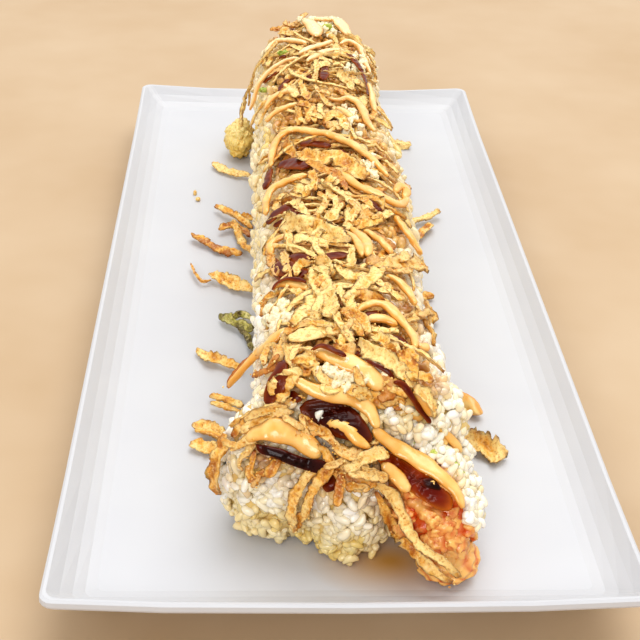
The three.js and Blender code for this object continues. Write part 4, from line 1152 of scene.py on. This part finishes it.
# The blades of its tail: how far each points sideways, how far it is turned, and its length.
TAIL_BLADES = [(0.7, 0.5, 8.0), (0.3, 0.2, 8.5), (-0.15, -0.2, 8.5), (-0.55, -0.5, 7.5)]
# Their way in Y and Z, the way of their flat side in Y and Z, and their widths along them.
TAIL_WAY, TAIL_FLAT = (-0.62, -0.75), (-0.7, 0.6)
BLADE_WIDTHS = [0, 0.5, 0.8, 1], [5.0, 6.4, 5.8, 3.4]
# Their thickness at the root, which is 1 mm less at the tip, and how many ridges they have, how high.
BLADE_THICKNESS, BLADE_RIDGES, RIDGE_HEIGHT = 3.2, 7, 0.3
# How deep the lumps sit in the batter, and how far under the prawn's radius its own skin lies.
LUMP_SINK, PRAWN_SKIN = 0.5, 1.0


def lumps(points, size, height, count, rng, nearest=4):
    """How far round lumps stand out of a surface: lumps of that size at random places on it."""
    chosen = points[rng.choice(len(points), count, replace=False)]
    tree = KDTree(len(chosen))
    for number, place in enumerate(chosen):
        tree.insert(place, number)
    tree.balance()
    radii = size * rng.uniform(0.6, 1.3, count)
    out = np.zeros(len(points))
    for number, place in enumerate(points):
        for _, index, apart in tree.find_n(place, nearest):
            share = 1 - (apart / radii[index]) ** 2
            if share > 0:
                out[number] = max(out[number], height * radii[index] / size * share**0.5)
    return out


def add_prawn_lump(batch, spot, out, rng):
    """A knobbly lump of batter, paler the further it stands out, with painted shade at its foot and in its
    hollows.
    """
    ball, triangles = grain_shape(16, 12)
    half = rng.uniform(*LUMP_HALF)
    way = unit(np.cross(out, rng.normal(size=3)))
    local = ball * half
    points = spot + local[:, :1] * way + local[:, 1:2] * np.cross(out, way) + local[:, 2:] * out
    ridges = wobble(points, 1.3, new_seed(rng))
    points += unit(points - spot) * (LUMP_RIDGES * ridges)[:, None]
    keep_height(points, BASE, np.inf)
    # Paler on its top and ridges as batter colour; darker at its foot and in its hollows as painted shade.
    pale = np.clip(rng.uniform(0.0, 0.4) + 0.5 * ball[:, 2] + 0.35 * ridges, 0, 1)
    along = np.full(len(points), fade(spot[1], PRAWN_LINE[0][1], -PRAWN_LENGTH))
    batch.add(points, triangles, np.stack([pale, along, 0 * along + 0.5], -1))


def add_prawn_body(batch, rng):
    """The prawn in its batter, and the spots on it with their ways out."""
    line = spline(PRAWN_LINE, PRAWN_ROWS)
    share = np.linspace(0, 1, PRAWN_ROWS)
    radii = (prawn_radii(PRAWN_ROWS) - PRAWN_SKIN) * np.sqrt(1 - 0.7 * share**16)
    ups = np.broadcast_to(np.array(PRAWN_UP), line.shape)
    rings = sweep(line, ups, 2 * radii, 2 * radii, PRAWN_SIDES)
    away = unit(rings - line[:, None])
    spots = rings.reshape(-1, 3)
    out, fine = [lumps(spots, *layer, rng).reshape(rings.shape[:2]) for layer in PRAWN_BATTER]
    rings = rings + away * (out + fine + 0.3 * wobble(rings, 4, 9))[..., None]
    # Paler where the batter stands out as batter colour; darker in the creases between lumps as painted
    # shade.
    pale = np.clip(0.4 * out + 0.6 * fine + 0.3 * wobble(rings, 5.0, 12) - 0.55, 0, 1)
    keep_height(rings, BASE, np.inf)
    along = 0 * out + share[:, None]
    batch.loft(rings, np.stack([pale, along, 0 * out + 0.5], -1))
    return rings.reshape(-1, 3), away.reshape(-1, 3)


def add_tail_blade(batch, sideways, turn, length, rng, count=30, sides=40):
    """One blade of the prawn's tail, ridged and battered."""
    aim = unit(np.array([sideways, *TAIL_WAY]))
    share = np.linspace(0, 1, count)
    line = np.array(PRAWN_LINE[-1]) + aim * share[:, None] * length - aim
    ups = np.broadcast_to(unit(np.array([turn, *TAIL_FLAT])), line.shape)
    blade = sweep(line, ups, np.interp(share, *BLADE_WIDTHS), BLADE_THICKNESS - share, sides)
    out = unit(blade - line[:, None])
    spots = blade.reshape(-1, 3)
    rough = sum(lumps(spots, *layer, rng) for layer in BLADE_BATTER).reshape(blade.shape[:2])
    turns = np.arange(sides) * 2 * np.pi / sides * BLADE_RIDGES
    ridges = 0.5 + 0.5 * np.sin(turns + 2 * wobble(blade, 5.0, 77))
    blade = blade + out * (rough + RIDGE_HEIGHT * ridges)[..., None]
    keep_height(blade, BASE, np.inf)
    # Paler on the ridges and lumps as batter colour; darker in the grooves between as painted shade.
    pale = smooth(0.4 * rough + ridges - 0.2)
    batch.loft(blade, np.stack([pale, 0 * pale + 1, 0 * pale + 0.5], -1))


def make_prawn(materials):
    rng = np.random.default_rng(SEEDS["prawn"])
    batch = Batch()
    spots, ways = add_prawn_body(batch, rng)
    for number in rng.choice(np.arange(BARE_ROWS * PRAWN_SIDES, len(spots)), PRAWN_LUMPS):
        add_prawn_lump(batch, spots[number] - LUMP_SINK * ways[number], ways[number], rng)
    for blade in TAIL_BLADES:
        add_tail_blade(batch, *blade, rng)
    batch.make("prawn", materials["prawn"], ["prawn_in_batter"], "prawn")


# The pieces beside the roll

# Crisps on the plate: CAD node, width and lift in millimetres, and the pixels along the middle.
FALLEN = [
    ("fallen_crisp_left_1", 2.6, 1.0, [(213, 163), (224, 170), (238, 174), (251, 176)]),
    ("fallen_crisp_left_2", 2.2, 1.6, [(215, 206), (226, 212), (238, 219), (252, 228)]),
    ("fallen_crisp_left_3", 2.8, 1.2, [(192, 235), (206, 243), (222, 249), (242, 254)]),
    ("fallen_crisp_left_4", 3.4, 1.4, [(210, 275), (226, 281), (240, 285), (256, 290)]),
    ("fallen_crisp_left_6", 2.4, 1.0, [(197, 349), (211, 358), (227, 364), (244, 369)]),
    ("fallen_crisp_left_7", 1.9, 1.0, [(210, 396), (226, 400), (243, 407)]),
    ("fallen_crisp_left_8", 3.0, 1.2, [(193, 425), (209, 429), (228, 438)]),
    ("fallen_crisp_left_9", 3.2, 1.0, [(190, 444), (203, 447), (219, 452)]),
    ("fallen_crisp_right_1", 3.6, 1.0, [(386, 143), (397, 145), (411, 145)]),
    ("fallen_crisp_right_2", 2.2, 1.6, [(404, 222), (420, 219), (440, 212)]),
    ("fallen_crisp_right_3", 2.6, 1.2, [(411, 243), (421, 234), (432, 224)]),
    ("fallen_crisp_right_4", 2.6, 1.0, [(420, 298), (427, 296), (434, 297)]),
    ("fallen_crisp_right_6", 6.0, 1.0, [(450, 440), (468, 444), (487, 449), (507, 456)]),
]
# Thinner strips that lie against those.
FALLEN_MORE = [
    (2.4, 1.6, [(219, 230), (228, 226), (238, 228), (250, 236)]),
    (2.4, 1.8, [(232, 222), (238, 232), (243, 244), (250, 252)]),
    (2.4, 1.4, [(240, 217), (248, 218), (257, 217)]),
    (0.9, 1.2, [(191, 264), (196, 274), (202, 281), (211, 280)]),
    (1.6, 1.6, [(211, 402), (226, 407), (241, 412)]),
    (1.4, 2.0, [(195, 430), (210, 434), (226, 441)]),
    (3.6, 1.4, [(424, 378), (436, 386), (447, 394), (452, 404)]),
    (3.2, 1.0, [(428, 404), (438, 410), (448, 414), (462, 415)]),
    (3.4, 1.2, [(414, 314), (426, 316), (436, 322)]),
    (2.4, 1.6, [(434, 348), (437, 354), (436, 360)]),
    (3.0, 1.6, [(396, 188), (404, 186), (410, 190)]),
]
# The fried leaf with its dark stalk: width, lift, how dark it is, and the pixels along the middle.
LEAF = [
    (3.0, 1.6, 0.0, [(219, 315), (230, 321), (243, 326), (254, 330)]),
    (1.8, 1.4, 0.1, [(232, 318), (240, 314), (248, 317), (255, 320)]),
    (1.8, 1.2, 0.8, [(240, 326), (246, 335), (251, 343), (254, 352)]),
]
# How those three kinds are twisted, in degrees, how thick and dark they are, and how fine their mesh is.
FALLEN_LOOK = {"twist": 14, "thickness": 0.9, "columns": 8, "pitch": 0.36, "shade": 0.2}
FALLEN_MORE_LOOK = {"twist": 20, "thickness": 0.8, "columns": 6, "pitch": 0.4, "shade": 0.3}
LEAF_LOOK = {"twist": 20, "thickness": 0.7, "columns": 8, "pitch": 0.36}
# The way that the crisps on the plate face, and the height of the mayonnaise's middle over its floor.
FACING, BLOB_LIFT = (0.0, -0.6, 1.0), 1.6
# Mayonnaise on the plate: the CAD blob, and the coat on the crisp at the right, as widths and height in
# millimetres and the pixels along the middle.
COATED = [
    ("fallen_mayonnaise_blob", (2.4, 3.6, 4.0, 3.4, 2.0), 2.6,
     [(399, 206), (403, 200), (407, 193), (406, 186)]),
    ("fallen_crisp_right_5", (2.4, 4.2, 4.8, 3.8, 0.9), 3.2,
     [(446, 391), (456, 398), (466, 404), (481, 414)]),
]
# The lump of batter behind the roll's middle: crumbs over a core of three, and the height under which it
# gets painted shade.
LUMP = {"middle": (-22.4, 84.0, 16.2), "half": (3.4, 6.0, 5.2), "crumbs": 120, "shade": 14}
# The smallest and largest half sizes of the core's crumbs, of those on it, and of those in a heap.
CORE_CRUMBS, LUMP_CRUMBS, HEAP_CRUMBS = (3.0, 4.6), (0.6, 2.4), (0.6, 1.5)
# Heaps of batter crumbs on the roll: how many, lift, and the middle and spread in pixels.
CRUMB_HEAPS = [
    (60, 1.6, (327, 25), (9, 4)), (26, 1.4, (358, 66), (6, 9)), (24, 1.2, (350, 122), (7, 8)),
    (40, 1.2, (277, 318), (6, 8)), (50, 1.4, (344, 376), (11, 5)), (16, 1.4, (366, 168), (7, 5)),
]
# The height under which the heaps get painted shade, and over what length it fades above it.
HEAP_SHADED_TO, SHADE_LENGTH = 36, 9
# Single crumbs on the plate, in pixels, and the lift of their middles.
CRUMBS_LIFT = 0.3
CRUMBS = [(195, 193), (254, 201), (198, 199), (466, 420)]
# Flecks of herb on the rice: pixel, lift and half size in millimetres.
HERBS = [
    ((418, 442), 2.4, 0.7), ((433, 453), 2.4, 0.8), ((456, 465), 2.4, 0.6), ((461, 474), 2.6, 0.5),
    ((321, 21), 3.0, 1.8), ((327, 27), 3.0, 1.5), ((283, 53), 1.8, 1.4), ((264, 90), 1.6, 1.2),
]


def add_crumb_heap(batch, spots, sizes, low, rng):
    """Ragged crumbs of batter at spots, with painted shade where they lie lower than that height."""
    ball, triangles = grain_shape(16, 10)
    for spot in spots:
        points = ball[:, [1, 2, 0]] * rng.uniform(*sizes, 3) + spot
        points += unit(points - spot) * (0.3 * wobble(points, 1.6, 61))[:, None]
        keep_height(points)
        # Painted shade: crumbs that lie lower are darker.
        high = fade(points[:, 2], low, SHADE_LENGTH)
        batch.add(points, triangles, np.stack([0.5 - 0.45 * high, 0 * high, 0 * high], -1))


def make_batter(materials, slices):
    """The lump of batter beside the roll, and the heaps of batter crumbs on it."""
    rng = np.random.default_rng(SEEDS["batter"])
    batch = Batch()
    middle, half, count = np.array(LUMP["middle"]), np.array(LUMP["half"]), LUMP["crumbs"]
    core = [middle + [0, aside, 0] for aside in (0, 2, -2)]
    add_crumb_heap(batch, core, CORE_CRUMBS, LUMP["shade"], rng)
    deep = rng.uniform(0, 1.6, (count, 1))
    spots = middle + unit(rng.normal(size=(count, 3))) * (half - deep)
    add_crumb_heap(batch, spots, LUMP_CRUMBS, LUMP["shade"], rng)
    batch.make("batter_lump", materials["batter"], ["fallen_batter_lump"], "batter")
    batch = Batch()
    for count, lift, middle, spread in CRUMB_HEAPS:
        pixels = np.array(middle) + rng.normal(size=(count, 2)) * np.array(spread)
        spots = np.vstack([on_food([pixel], lift + rng.uniform(-0.5, 0.8)) for pixel in pixels])
        add_crumb_heap(batch, spots, HEAP_CRUMBS, HEAP_SHADED_TO, rng)
    batch.make("batter_on_top", materials["batter_crumbs"], slices, "batter")


def make_herbs(materials, slices):
    rng = np.random.default_rng(SEEDS["herbs"])
    batch = Batch()
    ball, triangles = grain_shape(10, 8)
    for pixel, lift, half in HERBS:
        spot = on_food([pixel], lift)[0]
        points = ball[:, [0, 2, 1]] * half * rng.uniform([0.9, 0.3, 0.5], [1.3, 0.5, 0.8]) + spot
        points += 0.2 * wobble(points, 1.2, 73)[:, None]
        keep_height(points)
        batch.add(points, triangles, (rng.uniform(0, 0.6), 0.0, 0.0))
    batch.make("herb_flecks", materials["herb"], slices)


def add_fallen(batch, width, lift, pixels, rng, twist, **look):
    """A crisp that lies on the plate, twisted at random up to about that many degrees."""
    twist = rng.normal(0, twist, 2)
    add_crisp(batch, on_plate(pixels, lift), width, rng, twist=twist, ups=unit(np.array(FACING)), **look)


def make_fallen(materials):
    rng = np.random.default_rng(SEEDS["fallen"])
    batch = Batch()
    for _, width, lift, pixels in FALLEN:
        add_fallen(batch, width, lift, pixels, rng, **FALLEN_LOOK)
    for width, lift, pixels in FALLEN_MORE:
        add_fallen(batch, width, lift, pixels, rng, **FALLEN_MORE_LOOK)
    batch.make("crisps_on_plate", materials["crisp"], [row[0] for row in FALLEN], "crisp")

    batch = Batch()
    for width, lift, shade, pixels in LEAF:
        add_fallen(batch, width, lift, pixels, rng, shade=shade, **LEAF_LOOK)
    batch.make("fried_leaf_on_plate", materials["fried_leaf"], ["fallen_crisp_left_5"], "crisp")

    batch = Batch()
    for _, widths, height, pixels in COATED:
        add_band(batch, on_plate(pixels, BLOB_LIFT), widths, height, rng, sides=24, pitch=0.5)
    batch.make("mayonnaise_on_plate", materials["mayonnaise"], [row[0] for row in COATED], "mayonnaise")

    batch = Batch()
    small, triangles = grain_shape(6, 4)
    for spot in on_plate(CRUMBS, CRUMBS_LIFT):
        batch.add(small * rng.uniform(0.4, 1.0, 3) + spot, triangles, (rng.uniform(0.1, 0.5), 0.2, 0.0))
    batch.make("crumbs_on_plate", materials["crisp"], (), "crisp")


# Materials

# How far red, green and blue light spread under the surface of each food, as shares of the farthest.
RICE_GLOW, FRIED_GLOW = (1, 0.9, 0.7), (1, 0.6, 0.3)
MAYONNAISE_GLOW, PRAWN_GLOW = (1, 0.75, 0.4), (1, 0.7, 0.4)
# What is fried: its light, middle and dark colour, and the colour of its edges.
FRIED = {
    "crisp": ("FFDC8E", "F4B648", "B26612", "84460C"),
    "batter": ("FFE9A0", "F4C85A", "D88E1A", "D8A040"),
    "batter_crumbs": ("FBF0CC", "F2D892", "D8A040", "E8C070"),
    "fried_leaf": ("E2D88A", "AFA546", "5A4A12", "3A2A0A"),
    "herb": ("C2CC54", "93AA34", "56701C", "64801E"),
}
# The painted warm shade on the plate in front of the roll, where the prawn's shadow is tinted by light
# through its batter: its middle, half its size, and how it fades outwards.
PRAWN_SHADOW = {"middle": (9.0, -114.0, 11.0), "half": (17.0, 11.5, 6.0)}
PRAWN_SHADOW_FADE = (0.1, 0.9), (0.6, 0.35), (1.0, 0.0)


def colour_of(value):
    """A grey from a number, or a colour from its code as it looks on a screen, such as E3B565."""
    if not isinstance(value, str):
        return (value, value, value, 1.0)
    parts = [int(value[i : i + 2], 16) / 255 for i in (0, 2, 4)]
    linear = [part / 12.92 if part <= 0.04045 else ((part + 0.055) / 1.055) ** 2.4 for part in parts]
    return (*linear, 1.0)


class Shader:
    """A material round one Principled shader, with short names for what these looks need."""

    def __init__(self, name, **sockets):
        self.material = bpy.data.materials.new(name)
        self.material.use_nodes = True
        self.tree = self.material.node_tree
        self.base = self.tree.nodes["Principled BSDF"]
        for socket, value in sockets.items():
            self.base.inputs[socket.replace("_", " ")].default_value = value
        self.place = self.tree.nodes.new("ShaderNodeTexCoord").outputs["Object"]

    def link(self, output, node, socket):
        self.tree.links.new(output, node.inputs[socket])

    def noise(self, size, detail=3.0):
        """Noise with features of about that many millimetres."""
        node = self.tree.nodes.new("ShaderNodeTexNoise")
        node.inputs["Scale"].default_value = 1 / (size * MM)
        node.inputs["Detail"].default_value = detail
        node.inputs["Roughness"].default_value = 0.6
        self.link(self.place, node, "Vector")
        return node.outputs["Fac"]

    def ramp(self, value, *stops):
        """Colours by a value, from stops of a value and a colour each."""
        node = self.tree.nodes.new("ShaderNodeValToRGB")
        while len(node.color_ramp.elements) < len(stops):
            node.color_ramp.elements.new(1.0)
        for element, (position, colour) in zip(node.color_ramp.elements, stops):
            element.position = position
            element.color = colour_of(colour)
        self.link(value, node, "Fac")
        return node.outputs["Color"]

    def mix(self, share, first, second, mode="MIX"):
        """Two colours mixed, each an output or what colour_of takes."""
        node = self.tree.nodes.new("ShaderNodeMix")
        node.data_type = "RGBA"
        node.blend_type = mode
        for value, socket in ((share, 0), (first, 6), (second, 7)):
            if hasattr(value, "is_output"):
                self.tree.links.new(value, node.inputs[socket])
            else:
                node.inputs[socket].default_value = colour_of(value) if socket else value
        return node.outputs[2]

    def times(self, first, second):
        return self.mix(1.0, first, second, "MULTIPLY")

    def tint(self):
        """The red, green and blue of the mesh's own tint."""
        node = self.tree.nodes.new("ShaderNodeAttribute")
        node.attribute_name = "tint"
        split = self.tree.nodes.new("ShaderNodeSeparateColor")
        self.link(node.outputs["Color"], split, "Color")
        return split.outputs

    def bump(self, height, distance, strength):
        node = self.tree.nodes.new("ShaderNodeBump")
        node.inputs["Strength"].default_value = strength
        node.inputs["Distance"].default_value = distance * MM
        self.link(height, node, "Height")
        self.link(node.outputs["Normal"], self.base, "Normal")

    def colour(self, output):
        self.link(output, self.base, "Base Color")


def rice_material():
    shader = Shader("rice", Roughness=0.22, Coat_Weight=0.4, Coat_Roughness=0.06,
                    Subsurface_Weight=0.3, Subsurface_Scale=0.001, Subsurface_Radius=RICE_GLOW)
    bright, yellow, stain = shader.tint()
    # Its darkest, golden stop is painted shade, for the body of rice between the grains.
    grain = shader.ramp(bright, (0.0, "D6B470"), (0.3, "EFE0BC"), (1.0, "FFFAF0"))
    patch = shader.mix(yellow, grain, "E8C878")
    cloud = shader.ramp(shader.noise(2.2), (0.45, 0.0), (0.75, 0.3))
    patch = shader.mix(cloud, patch, "F8E8BC")
    # Sauce stain, and under the heap painted shade as well.
    stained = shader.ramp(shader.noise(6.0), (0.35, "AE6A1E"), (0.6, "ECC070"))
    shader.colour(shader.mix(stain, patch, stained))
    shader.bump(shader.noise(0.9, 2.0), distance=0.12, strength=0.5)
    return shader.material


def fried_material(name, light, middle, dark, edge_colour):
    """A fried surface: sandy, with pale grains as crumb colour and painted highlight, painted shade in its
    hollows, broken brown edges and soaked places.
    """
    shader = Shader(name, Roughness=0.4, Coat_Weight=0.15, Coat_Roughness=0.2,
                    Subsurface_Weight=0.12, Subsurface_Scale=0.0008, Subsurface_Radius=FRIED_GLOW)
    darkness, edge, soaked = shader.tint()
    body = shader.ramp(darkness, (0.1, light), (0.55, middle), (1.0, dark))
    sandy = shader.noise(0.7)
    # Pale on the raised grains of the sandy bump, as crumb colour and painted highlight; darker in its
    # hollows, as painted shade.
    body = shader.mix(shader.ramp(sandy, (0.5, 0.0), (0.7, 0.5)), body, "FFE8B0")
    body = shader.mix(shader.ramp(sandy, (0.34, 0.6), (0.48, 0.0)), body, dark)
    broken = shader.ramp(shader.noise(1.4), (0.35, 0.0), (0.55, 1.0))
    body = shader.mix(shader.times(edge, broken), body, edge_colour)
    shader.colour(shader.mix(shader.times(soaked, 0.85), body, "B4600E"))
    shader.bump(sandy, distance=0.45, strength=1.0)
    return shader.material


def mayonnaise_material():
    shader = Shader("mayonnaise", Roughness=0.18, Coat_Weight=0.35, Coat_Roughness=0.06,
                    Subsurface_Weight=0.2, Subsurface_Scale=0.001, Subsurface_Radius=MAYONNAISE_GLOW)
    _, edge, pale = shader.tint()
    drift = shader.ramp(shader.noise(5.0, 2.0), (0.3, "EAAC4E"), (0.7, "F6D28A"))
    drift = shader.mix(shader.times(pale, 0.7), drift, "FCE8B8")
    # Orange at the sides of a band: partly where it thins over the food, partly painted shade where it turns
    # down.
    shader.colour(shader.mix(shader.times(edge, 0.8), drift, "D68E2C"))
    shader.bump(shader.noise(2.5, 2.0), distance=0.25, strength=0.4)
    return shader.material


def sauce_material():
    """Dark sauce, redder where it is thin."""
    shader = Shader("dark_sauce", Roughness=0.1, Specular_IOR_Level=0.2)
    thin, edge, _ = shader.tint()
    deep = shader.ramp(shader.noise(3.5, 2.0), (0.35, "1A0302"), (0.7, "360A04"))
    light = shader.ramp(shader.noise(4.0, 2.0), (0.35, "8E1E04"), (0.65, "C24A08"))
    rim = shader.mix(thin, "7A2406", "DC8A2A")
    shader.colour(shader.mix(shader.times(edge, 0.8), shader.mix(thin, deep, light), rim))
    shader.bump(shader.noise(0.9, 2.0), distance=0.15, strength=0.5)
    return shader.material


def prawn_material():
    """Orange prawn under batter, redder towards the tail, paler where the batter stands out and darker in
    its creases as painted shade.
    """
    shader = Shader("prawn", Roughness=0.22, Coat_Weight=0.4, Coat_Roughness=0.08,
                    Subsurface_Weight=0.08, Subsurface_Scale=0.001, Subsurface_Radius=PRAWN_GLOW)
    height, along, _ = shader.tint()
    under = shader.ramp(along, (0.3, "B8640C"), (0.65, "C4560C"), (0.9, "D04E0E"))
    top = shader.ramp(along, (0.3, "F4C464"), (0.8, "F8CE7C"), (1.0, "F6BE6A"))
    shader.colour(shader.mix(height, under, top))
    shader.bump(shader.noise(0.9), distance=0.4, strength=0.8)
    return shader.material


def plate_material():
    """White porcelain, with painted warm shade beside the prawn, as its shadow tinted by light through the
    batter.
    """
    shader = Shader("porcelain", Roughness=0.4, Specular_IOR_Level=0.4)
    white = shader.ramp(shader.noise(30.0, 2.0), (0.3, "C6C6C9"), (0.7, "CACACC"))
    # Painted shade: the prawn's warm shadow on the plate, strongest at its middle.
    place = shader.tree.nodes.new("ShaderNodeMapping")
    place.inputs["Location"].default_value = [-at / half for at, half in zip(PRAWN_SHADOW["middle"], PRAWN_SHADOW["half"])]
    place.inputs["Scale"].default_value = [1 / (half * MM) for half in PRAWN_SHADOW["half"]]
    shader.link(shader.place, place, "Vector")
    apart = shader.tree.nodes.new("ShaderNodeVectorMath")
    apart.operation = "LENGTH"
    shader.link(place.outputs["Vector"], apart, 0)
    shader.colour(shader.mix(shader.ramp(apart.outputs["Value"], *PRAWN_SHADOW_FADE), white, "BE8A1C"))
    return shader.material


def plain_material(name, size, detail, dark, light):
    """A dull surface that drifts between two colours."""
    shader = Shader(name, Roughness=0.6)
    shader.colour(shader.ramp(shader.noise(size, detail), (0.3, dark), (0.7, light)))
    return shader.material


# Camera and light

# The lights, in metres and watts: place, what they point at, size, power and colour.
LIGHTS = {
    "window": ((0.3, 0.5, 1.9), (0, -0.03, 0.02), 1.9, 21.5, (1.0, 0.99, 0.97)),
    "front_fill": ((-0.4, -1.6, 1.0), (0, -0.12, 0.02), 1.0, 13.0, (0.97, 0.98, 1.0)),
}
# The light from all round: its brightest way, its strength, and its colours across and along that way.
SKY_WAY, SKY_STRENGTH = (0.25, 0.6, 0.75), 0.95
SKY = (0.0, (0.6, 0.6, 0.6, 1)), (0.9, (0.9, 0.91, 0.92, 1))
FLOOR_SIZE = 6.0


def make_camera():
    """The photograph's view."""
    right, up, forwards = camera_axes()
    data = bpy.data.cameras.new("camera")
    data.lens = LENS
    data.sensor_width = SENSOR
    data.shift_x = SHIFT
    data.clip_start = 0.01
    camera = bpy.data.objects.new("camera", data)
    bpy.context.scene.collection.objects.link(camera)
    turn = Matrix(np.stack([right, up, -forwards], 1).tolist()).to_quaternion()
    camera.matrix_world = Matrix.LocRotScale(tuple(EYE * MM), turn, None)
    bpy.context.scene.camera = camera


def area_light(name, place, target, size, power, colour):
    data = bpy.data.lights.new(name, "AREA")
    data.shape = "DISK"
    data.size = size
    data.energy = power
    data.color = colour
    light = bpy.data.objects.new(name, data)
    bpy.context.scene.collection.objects.link(light)
    back = unit(np.array(place) - np.array(target))
    side = unit(np.cross([0.0, 0.0, 1.0], back))
    turn = Matrix(np.stack([side, np.cross(back, side), back], 1).tolist()).to_quaternion()
    light.matrix_world = Matrix.LocRotScale(place, turn, None)


def make_world():
    """Soft light from all round, brighter from above and behind the plate."""
    world = bpy.data.worlds.new("world")
    world.use_nodes = True
    tree = world.node_tree
    place = tree.nodes.new("ShaderNodeTexCoord")
    dot = tree.nodes.new("ShaderNodeVectorMath")
    dot.operation = "DOT_PRODUCT"
    dot.inputs[1].default_value = SKY_WAY
    tree.links.new(place.outputs["Generated"], dot.inputs[0])
    ramp = tree.nodes.new("ShaderNodeValToRGB")
    for element, (position, colour) in zip(ramp.color_ramp.elements, SKY):
        element.position = position
        element.color = colour
    tree.links.new(dot.outputs["Value"], ramp.inputs["Fac"])
    tree.links.new(ramp.outputs["Color"], tree.nodes["Background"].inputs["Color"])
    tree.nodes["Background"].inputs["Strength"].default_value = SKY_STRENGTH
    bpy.context.scene.world = world


def make_stage():
    """A plain pale floor, the lights, and how the picture is toned."""
    bpy.ops.mesh.primitive_plane_add(size=FLOOR_SIZE, location=(0, 0, 0))
    floor = bpy.context.object
    floor.name = "floor"
    floor.data.materials.append(plain_material("floor", 60.0, 3.0, "BCA07E", "C4AB8C"))
    make_world()
    bpy.context.scene.view_settings.view_transform = "Standard"
    bpy.context.scene.view_settings.look = "Medium High Contrast"
    for name, light in LIGHTS.items():
        area_light(name, *light)


def main():
    materials = {name: fried_material(name, *colours) for name, colours in FRIED.items()}
    materials["rice"] = rice_material()
    materials["mayonnaise"] = mayonnaise_material()
    materials["sauce"] = sauce_material()
    materials["prawn"] = prawn_material()
    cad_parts["plate"].data.materials[0] = plate_material()
    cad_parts["nori_sheet"].data.materials[0] = plain_material("nori", 1.5, 4.0, "0E130C", "2A3322")
    make_camera()
    make_stage()
    slices = [f"slice_{number + 1}" for number in range(SLICES)]
    make_rice(materials, slices)
    make_crisps(materials, slices)
    make_sauces(materials, slices)
    make_prawn(materials)
    make_fallen(materials)
    make_batter(materials, slices)
    make_herbs(materials, slices)


main()
